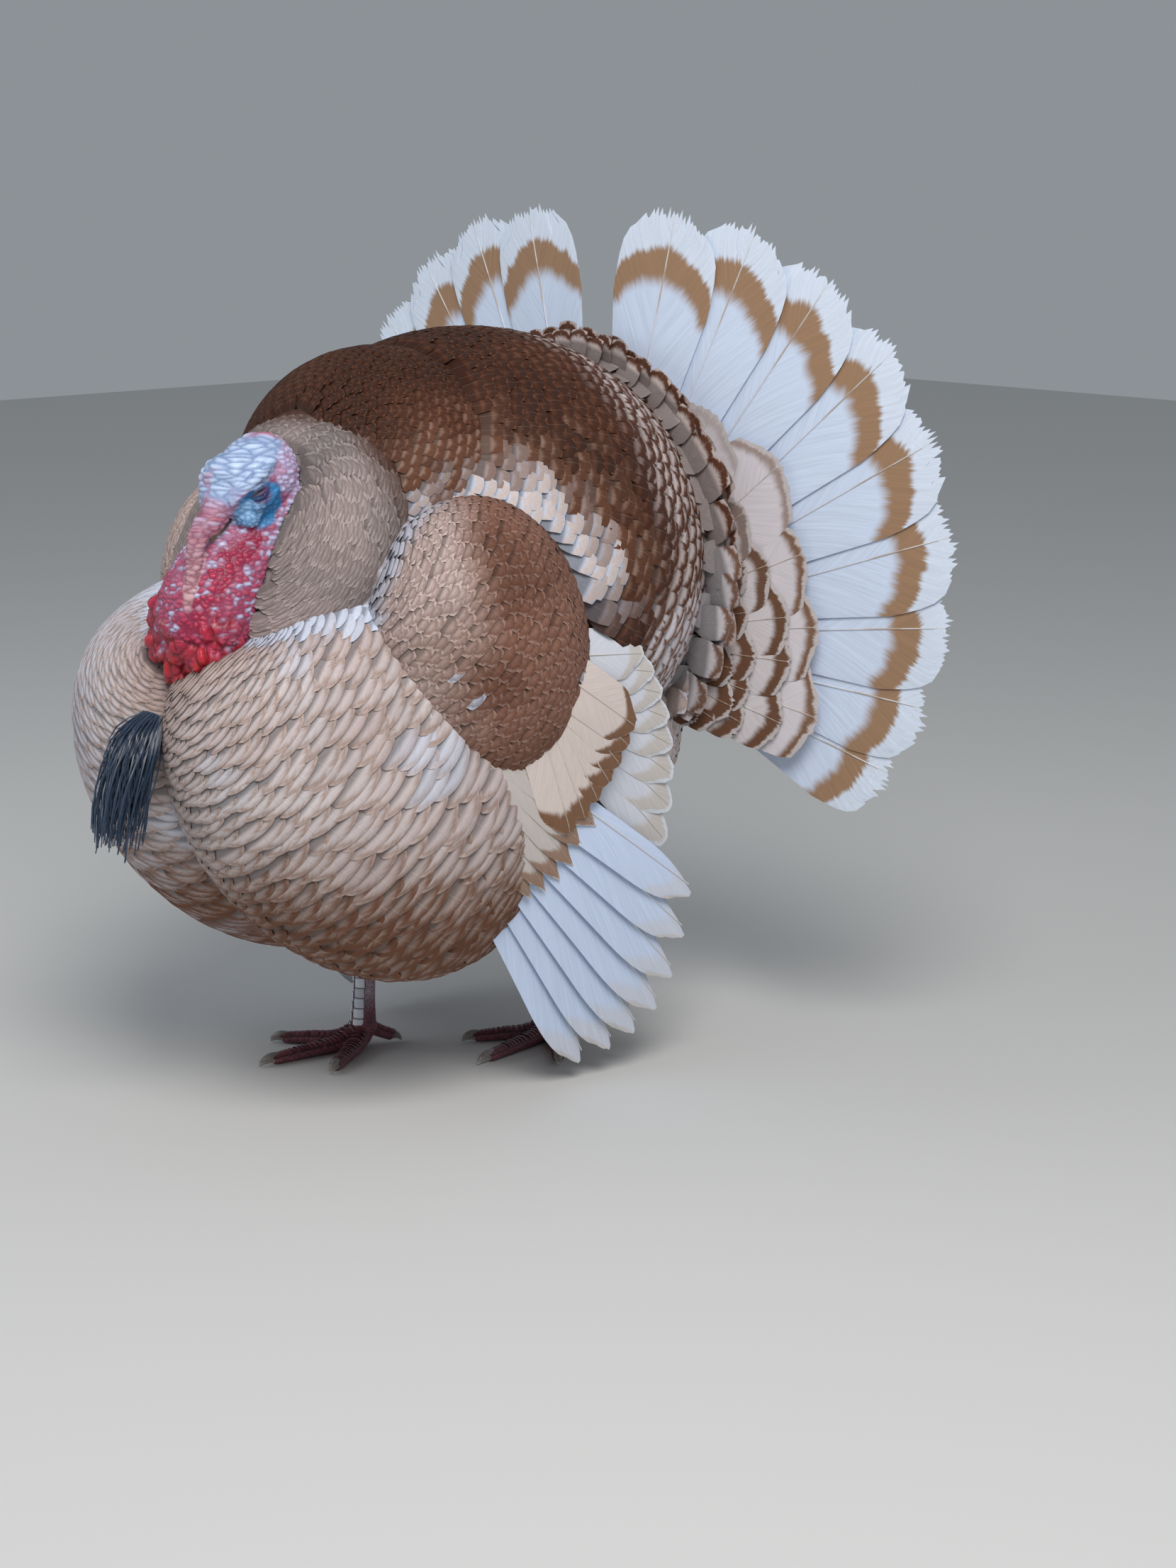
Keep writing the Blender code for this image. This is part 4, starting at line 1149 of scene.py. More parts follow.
# %% Depth of the coat
COAT_DEPTH = {"ruff": 0.0030, "nape": 0.0040, "dome": 0.0045, "breast": 0.0045, "thigh": 0.0045}
USUAL_DEPTH = 0.0060


def coat_depth(name):
    """How far the skin lies inside one mass."""
    return COAT_DEPTH.get(name.split("_")[0], USUAL_DEPTH)


print("coat depth on the back:", coat_depth("back"))

# %% Balls and swept bars


def ball_mesh():
    """Unit ball as arrays of vertices and triangles."""
    bm = bmesh.new()
    bmesh.ops.create_icosphere(bm, subdivisions=4, radius=1.0)
    verts = np.array([v.co[:] for v in bm.verts])
    faces = [tuple(v.index for v in f.verts) for f in bm.faces]
    bm.free()
    return verts, faces


BALL, BALL_FACES = ball_mesh()


def curve(stations, count):
    """Smooth rows of numbers through the stations."""
    stations = np.array(stations, float)
    t = np.linspace(0, len(stations) - 1, count)
    first = np.minimum(t.astype(int), len(stations) - 2)
    f = (t - first)[:, None]
    a, b, c, d = (stations[np.clip(first + k, 0, len(stations) - 1)] for k in (-1, 0, 1, 2))
    squared, cubed = 2 * a - 5 * b + 4 * c - d, 3 * b - a - 3 * c + d
    return 0.5 * (2 * b + (c - a) * f + squared * f ** 2 + cubed * f ** 3)


def swept(stations, rings=40, sides=36, sideways=(1.0, 0.0, 0.0), cap=0.6):
    """Closed smooth body through stations: world place, half-width, half-depth.

    sideways is the way its width lies, and cap how far its round ends stick out.
    """
    line = curve(stations, rings)
    path, wide, deep = line[:, :3], line[:, 3:4], line[:, 4:5]
    ahead = unit(np.gradient(path, axis=0))
    across = unit(sideways - (ahead @ np.array(sideways))[:, None] * ahead)
    other = np.cross(across, ahead)
    ring = around(across * wide, other * deep, sides)
    ends = (path[0] - ahead[0] * cap * deep[0], path[-1] + ahead[-1] * cap * deep[-1])
    verts = np.concatenate(((path[:, None] + ring).reshape(-1, 3), np.array(ends)))
    faces, number, after = wall(rings, sides)
    faces += [(rings * sides, after[0, j], number[0, j]) for j in range(sides)]
    faces += [(rings * sides + 1, number[-1, j], after[-1, j]) for j in range(sides)]
    return verts, faces


# %% Melting shapes together


def solid(name, shapes):
    """One mesh holding all the shapes, with normals outward."""
    verts, faces, count = [], [], 0
    for points, polygons in shapes:
        verts.append(points)
        faces += [tuple(i + count for i in polygon) for polygon in polygons]
        count += len(points)
    mesh = bpy.data.meshes.new(name)
    mesh.from_pydata(np.concatenate(verts).tolist(), [], faces)
    bm = bmesh.new()
    bm.from_mesh(mesh)
    bmesh.ops.recalc_face_normals(bm, faces=bm.faces)
    bm.to_mesh(mesh)
    bm.free()
    return mesh


def settled(obj):
    """Mesh of an object after its modifiers; the object is taken away."""
    view = bpy.context.evaluated_depsgraph_get()
    mesh = bpy.data.meshes.new_from_object(obj.evaluated_get(view))
    bpy.data.objects.remove(obj)
    return mesh


def melted(name, shapes, size, smooth):
    """The shapes run together on a fine grid of the given size and smoothed."""
    obj = bpy.data.objects.new(name, solid(name, shapes))
    PIECES.objects.link(obj)
    melt = obj.modifiers.new("melt", "REMESH")
    melt.mode = "VOXEL"
    melt.voxel_size = size
    relax = obj.modifiers.new("relax", "SMOOTH")
    relax.factor = 0.5
    relax.iterations = smooth
    mesh = settled(obj)
    print(f"{name}: {len(mesh.vertices)} vertices")
    return mesh


# %% Reading and moving vertices


def read(values, what="co"):
    """The places of a mesh's vertices, or other vectors, as an array."""
    out = np.empty(len(values) * 3, np.float32)
    values.foreach_get(what, out)
    return out.reshape(-1, 3).astype(float)


def write(mesh, points):
    """Put the vertices at new places."""
    mesh.vertices.foreach_set("co", points.astype(np.float32).ravel())
    mesh.update()


# %% [markdown]
# ## Head and bare neck
# The head is a swept skull with a padded forehead, brows over the eyes, cheek lobes, and the
# snood, a fleshy finger that hangs over the bill. Bulbs of red flesh, the caruncles, gather
# round the neck's foot. Everything is melted together before the folds are pressed in.

# %% Head lumps
SKULL = [(0, -0.037, -0.010, 0.022, 0.023), (0, -0.022, -0.005, 0.034, 0.034),
         (0, 0.008, 0, 0.034, 0.034), (0, 0.026, 0.001, 0.030, 0.030),
         (0, 0.038, -0.001, 0.020, 0.022)]
SNOOD = [(*head_point(0.002, 0.026, 0.018), 0.013, 0.012),
         (*head_point(0.006, 0.048, 0.011), 0.0135, 0.012),
         (*(HEAD + SHIFT + (0.012, -0.062, -0.038)), 0.0095, 0.0088),
         (*(HEAD + SHIFT + (0.013, -0.069, -0.068)), 0.0064, 0.0060),
         (*(HEAD + SHIFT + (0.013, -0.073, -0.096)), 0.0050, 0.0048)]
NECK = [(0.028, -0.192, 0.552, 0.034, 0.034), (0.028, -0.207, 0.520, 0.036, 0.041),
        (0.028, -0.236, 0.490, 0.038, 0.044), (0.026, -0.262, 0.462, 0.042, 0.046),
        (0.022, -0.270, 0.430, 0.042, 0.042)]
HANGING_BULB = (0.013, -0.290, 0.404, 0.0135)


def placed(stations):
    """Head-frame stations as world stations."""
    return [(*head_point(*s[:3]), s[3], s[4]) for s in stations]


def design(stations):
    """Design-place stations as world stations."""
    return [(*(np.array(s[:3]) + SHIFT), *s[3:]) for s in stations]


def ball(centre, radii):
    """A ball shape stretched by radii, turned as the head is."""
    return np.array(centre) + (BALL * np.array(radii)) @ HEAD_TURN.T, BALL_FACES


head_side = HEAD_TURN[:, 0]
head_shapes = [swept(placed(SKULL), sideways=head_side, cap=0.2), swept(SNOOD, sideways=head_side),
               swept(design(NECK), cap=0.1), ball(head_point(0, 0.012, 0.017), (0.026, 0.022, 0.022))]
for s in (-1, 1):
    brow = [(0.028 * s, -0.016, 0.014, 0.005, 0.005), (0.0315 * s, 0.004, 0.0185, 0.006, 0.0055),
            (0.0255 * s + 0.0025, 0.022, 0.0180, 0.0060, 0.006),
            (0.016 * s + 0.003, 0.035, 0.0135, 0.005, 0.005)]
    bag = [(0.030 * s, -0.004, -0.002, 0.003, 0.003), (0.0335 * s, 0.010, -0.0035, 0.0042, 0.0040),
           (0.031 * s, 0.026, 0.001, 0.0035, 0.0035)]
    cheek = ball(head_point(0.0215 * s, 0.030, -0.007), (0.0095, 0.0120, 0.0095))
    head_shapes += [swept(placed(brow), 24, 20), swept(placed(bag), 24, 20), cheek]
for x, y, z, r in BULBS + [HANGING_BULB]:
    head_shapes.append(ball(np.array((x, y, z)) + SHIFT, (r, r, r)))
head_mesh = melted("head_lumps", head_shapes, 0.0011, 6)

# %% [markdown]
# ## Folds, beads and lids
# Bare skin is never smooth. Long worm-like folds lie on the crown, small pads ring the neck and
# the caruncles are creased like a walnut. Each kind is a field of pads with creases between,
# stretched level, because loose skin folds across its own weight. The lids are pressed round
# the eyeball and leave a narrow slit.

# %% Pads and creases


def pads(points, long, thin, seed):
    """Pads with creases between, long across and thin in height.

    Returns the height at each point, 0 in a crease to 1 on a pad, and a number for its pad.
    """
    bend = np.stack([wander(points, 0.25 / thin, seed + k) for k in range(3)], axis=1)
    bent = points + 0.25 * thin * bend
    shift = Vector((seed, 1.3 * seed, 0.7 * seed))
    gap, number = np.empty(len(points)), np.empty(len(points))
    for i, p in enumerate(bent / np.array((long, long, thin))):
        near, spots = noise.voronoi(Vector(p) + shift)
        gap[i] = near[1] - near[0]
        number[i] = math.sin(spots[0].dot(Vector((12.9, 78.2, 37.7)))) * 43758.5 % 1.0
    pad = np.clip(gap / 0.8, 0, 1)
    return pad * (2 - pad), number


def outside_rod(points, stations):
    """How far points lie outside a swept rod."""
    stations = np.array(stations)
    far = np.full(len(points), 1e9)
    for first, last in zip(stations[:-1], stations[1:]):
        a, b = first[:3], last[:3]
        t = np.clip(((points - a) @ (b - a)) / ((b - a) @ (b - a)), 0, 1)
        radius = first[3] + t * (last[3] - first[3])
        far = np.minimum(far, np.linalg.norm(points - a - t[:, None] * (b - a), axis=1) - radius)
    return far


# %% Regions of the bare head


def head_frame(p):
    """How far points lie to either side, forward and up in the head's own frame."""
    own = (p - HEAD - SHIFT) @ HEAD_TURN
    return np.abs(own[:, 0]), -own[:, 1], own[:, 2]


def head_zones(p):
    """How much each point belongs to the crown, snood, caruncles, cyan patch and nape."""
    left, forward, up = head_frame(p)
    d = p - SHIFT
    snood = ease(0.0022, 0.0006, outside_rod(p, SNOOD)) * ease(0.030, 0.040, forward - 0.3 * up)
    edge = 0.004 * wander(p, 90.0, 2.0)
    notch = 0.009 * np.exp(-((forward - 0.026) / 0.009) ** 2) * ease(0.009, 0.015, left)
    crown = ease(0.007, 0.013, up + edge - 0.10 * np.abs(forward - 0.01) - notch) * (1 - snood)
    bulbs = np.full(len(p), -1.0)
    for x, y, z, r in BULBS + [HANGING_BULB]:
        bulbs = np.maximum(bulbs, r - np.linalg.norm(d - (x, y, z), axis=1))
    caruncle = ease(-0.004, 0.001, bulbs + edge) * ease(0.482, 0.462, d[:, 2] + edge) * (1 - snood)
    cyan = ease(0.0225, 0.0175, np.hypot(forward - 0.018, up + 0.001) + edge) * ease(0.010, 0.017, left)
    nape = ease(0.004, -0.008, forward + edge) * ease(0.034, 0.020, up)
    return dict(crown=crown, snood=snood, caruncle=caruncle, cyan=cyan * (1 - crown), nape=nape,
                left=left, forward=forward, up=up, d=d)


# %% Eyelids
# The slit between the lids, as shares of the eyeball's radius: half its length, how far it
# opens up and down from the line of its corners, and how much that line slopes.
LID_REACH, LID_UPPER, LID_LOWER, LID_TILT = 0.88, 0.44, 0.02, 0.22


def eye_axes(s):
    """Centre of one eye, and the ways it looks, forward and up."""
    x, f, u = EYE_SPOT
    out = unit(HEAD_TURN @ np.array((s * 0.95, -0.20, 0.10)))
    front = HEAD_TURN @ np.array((0.0, -1.0, 0.0))
    front = unit(front - (front @ out) * out)
    top = np.cross(out, front)
    return head_point(s * x, f, u), out, front, top * np.sign(top @ HEAD_TURN[:, 2])


def press_lids(p):
    """Wrap the skin round both eyeballs, leaving a slit."""
    for s in (-1, 1):
        centre, out, front, top = eye_axes(s)
        spoke = p - centre
        far = np.maximum(np.linalg.norm(spoke, axis=1), 1e-6)
        a, b, ahead = (spoke @ front) / far, (spoke @ top) / far, (spoke @ out) / far
        slit = np.maximum(1 - (a / LID_REACH) ** 2, 0)
        above = b - LID_TILT * a
        inside = np.minimum(LID_UPPER * slit - above, above + LID_LOWER * slit)
        shell = EYE_R + 0.0006 + 0.0013 * np.exp(-(inside / 0.14) ** 2)
        near = (ahead > 0.15) & (far < 1.7 * EYE_R)
        aim = np.where(inside > -0.03, EYE_R - 0.0022, np.maximum(far, shell))
        blend = ease(0.15, 0.35, ahead)
        new = np.where(near, far + (aim - far) * blend, far)
        p = centre + spoke * (new / far)[:, None]
    return p


# %% Pressing the folds
points = read(head_mesh.vertices)
normals = read(head_mesh.vertex_normals, "vector")
zone = head_zones(points)
crown_pad, crown_id = pads(points, 0.0165, 0.0044, 1.0)
neck_pad, neck_id = pads(points, 0.0062, 0.0038, 2.0)
bulb_pad, bulb_id = pads(points, 0.0120, 0.0190, 3.0)
ring_pad, ring_id = pads(points, 0.014, 0.0042, 4.0)
plain = (1 - zone["crown"]) * (1 - zone["snood"]) * (1 - zone["caruncle"])
rise = (0.0016 * zone["crown"] * crown_pad + 0.0018 * plain * (1 - 0.6 * zone["cyan"]) * neck_pad
        + zone["caruncle"] * (0.0050 * bulb_pad + 0.0005 * neck_pad)
        + 0.0012 * zone["snood"] * ring_pad)
points = press_lids(points + normals * (rise - 0.0008)[:, None])
write(head_mesh, points)
print("highest fold in metres:", rise.max().round(4))

# %% [markdown]
# ## Colours of the bare head
# In display the blood drains from the crown, which turns an icy blue-white, and fills the
# caruncles until they are scarlet. Between them lie a cyan cheek, a lilac nape and a wine-red
# neck beaded with rose. The creases between the pads get darker colours of painted shade, which
# gives the folds depth even in flat light.

# %% Pigments of the bare head
ICE = (0.60, 0.74, 0.97)
# Crease colours, here and below, are painted shade laid in the creases between pads.
CROWN_CREASE_SHADE = (0.13, 0.24, 0.46)
CYAN = (0.022, 0.27, 0.60)
PALE_BLUE = (0.13, 0.33, 0.62)
# Painted shade in the creases of the cyan patch.
CYAN_CREASE_SHADE = (0.01, 0.07, 0.20)
LOBE_CREASE_SHADE, LOBE = (0.08, 0.22, 0.44), (0.30, 0.52, 0.78)
LILAC = (0.60, 0.61, 0.86)
LILAC_CREASE_SHADE = (0.36, 0.20, 0.36)
ROSE = (0.56, 0.16, 0.25)
ROSY_LILAC = (0.50, 0.20, 0.32)
PINK, PALE_PINK = (0.70, 0.42, 0.45), (0.75, 0.55, 0.58)
WINE = (0.170, 0.014, 0.055)
CRIMSON = (0.54, 0.022, 0.080)
SCARLET = (0.74, 0.030, 0.040)
# Painted shade in the creases of the caruncles.
CARUNCLE_CREASE_SHADE = (0.12, 0.006, 0.012)
EYE_SHADE = (0.07, 0.025, 0.10)
NECK_LINE = np.array([          # height, and the neck's middle there: sideways and along
    (0.43, 0.022, -0.270), (0.462, 0.026, -0.262), (0.49, 0.028, -0.236), (0.52, 0.028, -0.207),
    (0.552, 0.028, -0.192)]).T
print("head pigments ready")

# %% Neck and face


def neck_colours(zone, patch):
    """Wine-red in the middle, beaded with lilac and rose at the nape and the throat's edge."""
    d = zone["d"]
    low = ease(0.545, 0.470, d[:, 2] + 0.012 * patch)
    middle_x, middle_y = (np.interp(d[:, 2], NECK_LINE[0], way) for way in NECK_LINE[1:])
    rear = (0.68 * (d[:, 0] - middle_x) + 0.73 * (d[:, 1] - middle_y)) / 0.042 + 0.3 * patch
    edges = np.maximum(ease(0.00, 0.35, rear), ease(-0.30, -0.65, rear))
    edges = np.maximum(edges * (1 - 0.75 * low), zone["nape"])
    blue_share = 0.02 + 0.66 * edges + 0.22 * zone["nape"]
    rose_share = blue_share + 0.08 + 0.16 * edges
    bead = mix(mix(CRIMSON, WINE, 0.55 * (1 - low)), ROSY_LILAC, 0.85 * edges)
    for pigment, share in ((ROSE, rose_share), (LILAC, blue_share)):
        bead = mix(bead, pigment, ease(share + 0.06, share - 0.06, neck_id))
    # The creases between the beads are painted darker: painted shade.
    return mix(mix(WINE, LILAC_CREASE_SHADE, 0.9 * edges), bead, 0.15 + 0.85 * neck_pad)


def face_colours(colour, zone):
    """The cyan patch and the paler lobe under the eye, laid over the neck's colours."""
    up, forward = zone["up"], zone["forward"]
    blue = mix(CYAN, PALE_BLUE, 0.7 * ease(0.022, 0.034, forward) + 0.25 * neck_id)
    # The creases of the cyan patch are painted darker: painted shade.
    colour = mix(colour, mix(CYAN_CREASE_SHADE, blue, 0.35 + 0.65 * neck_pad), zone["cyan"])
    lobe = ease(0.0130, 0.0100, np.hypot(forward - 0.031, up + 0.001))
    lobe = lobe * ease(0.010, 0.016, zone["left"]) * (1 - zone["snood"])
    # The creases of the lobe are painted darker: painted shade.
    return mix(colour, mix(LOBE_CREASE_SHADE, LOBE, neck_pad), lobe)


# %% Crown, snood and caruncles


def crown_colours(zone, p, patch):
    """Ice-blue pads, with rosy patches on the top and the brow."""
    top = np.linalg.norm(p - head_point(0.0, -0.040, 0.018), axis=1) + 0.006 * patch
    brow = ease(0.12, 0.40, patch + 0.5 * (crown_id - 0.5)) * ease(0.010, 0.026, zone["forward"])
    rosy = np.maximum(ease(0.020, 0.010, top), 0.50 * brow)
    # The creases between the crown's pads are painted darker blue: painted shade.
    crease = mix(CROWN_CREASE_SHADE, ROSE, 0.05 + 0.7 * rosy)
    return mix(crease, mix(ICE, ROSE, rosy), 0.10 + 0.90 * crown_pad)


def snood_colours(height):
    """Rings of rose and lilac, pinker towards the tip."""
    strand = mix(mix(ROSE, LILAC, 0.7 * ring_id), PINK, ease(0.55, 0.48, height))
    # Between the rings the creases are painted dark wine: painted shade.
    return mix(WINE, strand, 0.25 + 0.75 * ring_pad)


def caruncle_colours(height):
    """Scarlet bulbs with painted shade in their creases and a few pale beads."""
    speck = ease(0.92, 0.96, neck_id) * ease(0.43, 0.45, height) * 0.6
    red = mix(CRIMSON, SCARLET, bulb_id * 0.6 + ease(0.425, 0.410, height))
    # lit is how far a point lies out of its crease; the creases are darkened as painted shade.
    lit = 0.20 + 0.80 * np.minimum(bulb_pad, 0.4 + 0.6 * neck_pad)
    return mix(CARUNCLE_CREASE_SHADE, mix(red, PALE_PINK, speck), lit)


def head_colours(zone, p):
    """Pigment of every head point."""
    height = zone["d"][:, 2]
    patch = wander(p, 70.0, 7.0)
    colour = face_colours(neck_colours(zone, patch), zone)
    colour = mix(colour, crown_colours(zone, p, patch), zone["crown"])
    colour = mix(colour, snood_colours(height), zone["snood"])
    colour = mix(colour, caruncle_colours(height), zone["caruncle"])
    x, f, u = EYE_SPOT
    for s in (-1, 1):
        near = np.linalg.norm(p - head_point(s * (x + 0.007), f, u), axis=1)
        below = ease(0.013, 0.008, near) * ease(u + 0.001, u - 0.002, zone["up"])
        colour = mix(colour, EYE_SHADE, 0.85 * below)
    return colour


head_paint = head_colours(zone, points)
print("mean head colour:", head_paint.mean(axis=0).round(2))

# %% [markdown]
# ## Legs and the body under the feathers
# Shanks and toes are swept bars that melt into feet. The hidden body repeats the masses, set in
# by the depth of a feather's root, and is cut flat where the tail fan stands.

# %% Leg stations
TOES = ((0.80, -40.0), (1.0, 0.0), (0.80, 42.0))     # inner, middle, outer: length and turn
HEADING = {"right": 8.0, "left": -8.0}
HIND_TURN = {"right": 160.0, "left": 200.0}
TOE_REACH, HIND_REACH = 0.112, 0.038
# Stations of a toe or claw: share of its reach, height, half-width and half-height.
TOE_LINE = ((0.0, 0.014, 0.0095, 0.01344), (0.25, 0.0075, 0.0088, 0.0072),
            (0.55, 0.0062, 0.0075, 0.005952), (0.78, 0.0052, 0.0064, 0.004992),
            (0.86, 0.0046, 0.0056, 0.004416))
CLAW_LINE = ((0.82, 0.0060, 0.0048, 0.00552), (0.89, 0.0070, 0.0043, 0.004945),
             (0.955, 0.0052, 0.0030, 0.00345), (0.995, 0.0016, 0.0010, 0.00115))
HIND_LINE = ((0.0, 0.022, 0.0065, 0.0065), (0.4, 0.013, 0.0058, 0.0058),
             (0.75, 0.0070, 0.0052, 0.0052))
HIND_CLAW_LINE = ((0.72, 0.0080, 0.0042, 0.0042), (0.88, 0.0066, 0.0034, 0.0034),
                  (1.0, 0.0018, 0.0011, 0.0011))
# Stations of a shank: how far back, height, half-width and half-depth.
SHANK_LINE = ((0.0, 0.016, 0.0135, 0.0145), (0.001, 0.030, 0.0105, 0.0122),
              (0.003, 0.060, 0.0088, 0.0108), (0.006, 0.105, 0.0095, 0.0115),
              (0.010, 0.140, 0.012, 0.015))
print("shank stations:", len(SHANK_LINE))

# %% Ways and stations of the legs


def level_way(degrees):
    """Level direction, in degrees from straight ahead towards the left."""
    a = math.radians(degrees)
    return np.array((math.sin(a), -math.cos(a), 0.0))


def toe_way(side, angle):
    """Level direction of a front toe; angle in degrees outward from the middle toe."""
    outward = -1 if side == "right" else 1
    return level_way(outward * angle - HEADING[side])


def toe_stations(side, way, reach, line):
    """Design stations of a toe or claw that reaches along a level way."""
    return [(*(FOOT[side] + way * reach * t + (0, 0, z)), wide, deep) for t, z, wide, deep in line]


def hind_stations(side, line):
    """Design stations of the small raised hind toe, or of its claw."""
    return toe_stations(side, level_way(HIND_TURN[side]), HIND_REACH, line)


def shank_stations(side):
    """Stations of the shank up into the thigh."""
    x, y, _ = FOOT[side]
    return [(x, y + back, z, wide, deep) for back, z, wide, deep in SHANK_LINE]


def level_side(way):
    """The level direction across a level way."""
    return tuple(np.cross((0, 0, 1.0), way))


print("middle toe without its claw, in metres:", TOE_REACH * TOE_LINE[-1][0])

# %% Legs and body
legs = {}
for side in FOOT:
    shapes = [swept(design(shank_stations(side)), 30, 28)]
    for share, angle in TOES:
        way = toe_way(side, angle)
        toe = design(toe_stations(side, way, TOE_REACH * share, TOE_LINE))
        shapes.append(swept(toe, 30, 24, sideways=level_side(way)))
    shapes.append(swept(design(hind_stations(side, HIND_LINE)), 16, 20))
    legs[side] = melted(f"leg_{side}", shapes, 0.0016, 4)
    p = read(legs[side].vertices)
    p[:, 2] = np.maximum(p[:, 2], 0.0004)
    write(legs[side], p)

body_shapes = []
for name, mass in MASSES.items():
    p = mass.surface(BALL) - mass.normal(BALL) * coat_depth(name)
    if name == "back":
        p[:, 1] -= np.maximum(FAN_FRONT - fan_ahead(p), 0.0)
    body_shapes.append((p, BALL_FACES))
body_mesh = melted("body_lumps", body_shapes, 0.007, 1)

# %% [markdown]
# ## One skin
# Body, head and legs are joined by a solid union, so no seam shows and nothing is left inside.
# Each point keeps the colour it was given before the join. The skin under the coat asks for the
# coat's own pigment, so that a gap between feathers stays the right colour.

# %% Skin colours


def painted(mesh, colour):
    """Store a colour on each vertex."""
    layer = mesh.attributes.new("base", "FLOAT_VECTOR", "POINT")
    layer.data.foreach_set("vector", np.asarray(colour, np.float32).ravel())


def body_paint(p):
    """The coat's own pigment on the skin under it."""
    depth = np.stack([mass.depth(p) - coat_depth(name) for name, mass in MASSES.items()], axis=1)
    owner = np.argmin(np.abs(depth), axis=1)
    colour = np.zeros((len(p), 3))
    for k, name in enumerate(MASSES):
        mine = owner == k
        marks = plumage(p[mine], name)
        colour[mine] = mix(marks["base"], marks["band"], 0.35)
    return colour


def leg_paint(p):
    """Wine-red toes, greyer up the shank."""
    z = p[:, 2]
    grain = wander(p, 160.0, 4.0)
    toes = mix((0.15, 0.060, 0.080), (0.28, 0.075, 0.095), 0.5 + 0.7 * grain)
    shank = mix((0.46, 0.43, 0.52), (0.42, 0.24, 0.29), 0.5 + 0.8 * grain)
    return mix(toes, shank, ease(0.030, 0.060, z))


# %% Joining the skin


def joined(first, second):
    """Solid union of two meshes."""
    obj = bpy.data.objects.new("skin_join", first)
    other = bpy.data.objects.new("skin_tool", second)
    PIECES.objects.link(obj)
    PIECES.objects.link(other)
    cut = obj.modifiers.new("join", "BOOLEAN")
    cut.operation = "UNION"
    cut.solver = "MANIFOLD"
    cut.object = other
    mesh = settled(obj)
    bpy.data.objects.remove(other)
    return mesh


painted(head_mesh, head_paint)
painted(body_mesh, body_paint(read(body_mesh.vertices)))
skin_mesh = joined(body_mesh, head_mesh)
for side in FOOT:
    painted(legs[side], leg_paint(read(legs[side].vertices)))
    skin_mesh = joined(skin_mesh, legs[side])
print("skin:", len(skin_mesh.vertices), "vertices")


# %% [markdown]
# ## Unwrapping the skin
# To bake colours, every face needs a place of its own on a flat map. The skin is cut into five
# regions, and each region into six islands by the way its faces look, like a box folded open.
# The head gets as much of the map as the whole body, because it has the finest markings.

# %% Regions of the skin


def skin_regions(p):
    """Which part of the body a place belongs to: 0 body, 1 head, 2 neck, 3 and 4 the legs."""
    d = p - SHIFT
    bare = np.max([capsule_depth(p, a, b, r + 0.014) for a, b, r in BARE_RODS], axis=0)
    for x, y, z, r in BULBS + [HANGING_BULB]:
        bare = np.maximum(bare, r + 0.006 - np.linalg.norm(d - (x, y, z), axis=1))
    bare = np.maximum(bare, 0.006 - outside_rod(p, SNOOD))
    region = np.zeros(len(p), int)
    region[bare > 0] = 2
    region[(np.linalg.norm(p - head_point(0, 0.002, 0.006), axis=1) < 0.066) & (bare > 0)] = 1
    region[d[:, 2] < 0.125] = 3
    region[(d[:, 2] < 0.125) & (d[:, 0] < 0)] = 4
    return region


# %% Unwrap by the way faces look


def unwrap(mesh):
    """An unwrap by the way each face looks: six islands for each region, in its own cell.

    Returns the region of each face.
    """
    places, normals = read(mesh.vertices), read(mesh.vertex_normals, "vector")
    corner = np.empty(len(mesh.loops), np.int32)
    mesh.loops.foreach_get("vertex_index", corner)
    counts = np.empty(len(mesh.polygons), np.int32)
    mesh.polygons.foreach_get("loop_total", counts)
    face = np.repeat(np.arange(len(counts)), counts)
    centre, look = np.zeros((2, len(counts), 3))
    np.add.at(centre, face, places[corner])
    np.add.at(look, face, normals[corner])
    centre /= counts[:, None]
    axis = np.argmax(np.abs(look), axis=1)
    side = 2 * axis + (np.take_along_axis(look, axis[:, None], 1)[:, 0] > 0)
    home = skin_regions(centre)
    uv = np.zeros((len(corner), 2))
    for part, (left, low, wide, high) in SKIN_CELLS.items():
        for way in range(6):
            mine = (home == part) & (side == way)
            loops = mine[face]
            if not loops.any():
                continue
            flat = np.delete(places[corner[loops]], way // 2, axis=1)
            flat -= flat.min(axis=0)
            flat /= max(flat[:, 0].max() / (wide / 3), flat[:, 1].max() / (high / 2)) * 1.04
            uv[loops] = flat + (left + (way % 3) * wide / 3 + 0.002, low + (way // 3) * high / 2 + 0.002)
    layer = mesh.uv_layers.new(name="OFBake")
    layer.data.foreach_set("uv", uv.astype(np.float32).ravel())
    return home


SKIN_CELLS = {           # region: left, low, width and height of its cell of the map
    0: (0.0, 0.0, 0.5, 0.5), 1: (0.0, 0.5, 0.5, 0.5), 2: (0.5, 0.5, 0.5, 0.5),
    3: (0.5, 0.0, 0.25, 0.5), 4: (0.75, 0.0, 0.25, 0.5),
}


# %% Skin materials


def bare_material():
    """Moist wrinkled skin."""
    n = Nodes("bare_skin")
    place = n.place()
    shade = n.math("MULTIPLY_ADD", n.noise(place, 900.0, 3.0, 0.6), 0.24, 0.88)
    colour = n.shaded(n.attribute("base"), shade)
    return n.finish(colour, 0.46, n.noise(place, 700.0, 2.0, 0.6), 0.35, 0.0006,
                    Coat_Weight=0.06, Coat_Roughness=0.40)


def under_material():
    """Dull downy skin under the coat."""
    n = Nodes("under_coat")
    down = n.noise(n.place(), 300.0, 3.0, 0.7)
    return n.finish(n.attribute("base"), 0.9, down, 0.6, 0.002)


def leg_material():
    """Leathery skin of the feet, with a fine net of creases."""
    n = Nodes("leg_skin")
    creases = n.cells(n.place(), 520.0)
    shade = n.math("MULTIPLY_ADD", n.step(0.75, 0.35, creases), 0.5, 0.62)
    return n.finish(n.shaded(n.attribute("base"), shade), 0.5, n.step(0.8, 0.2, creases), 0.7, 0.0008)


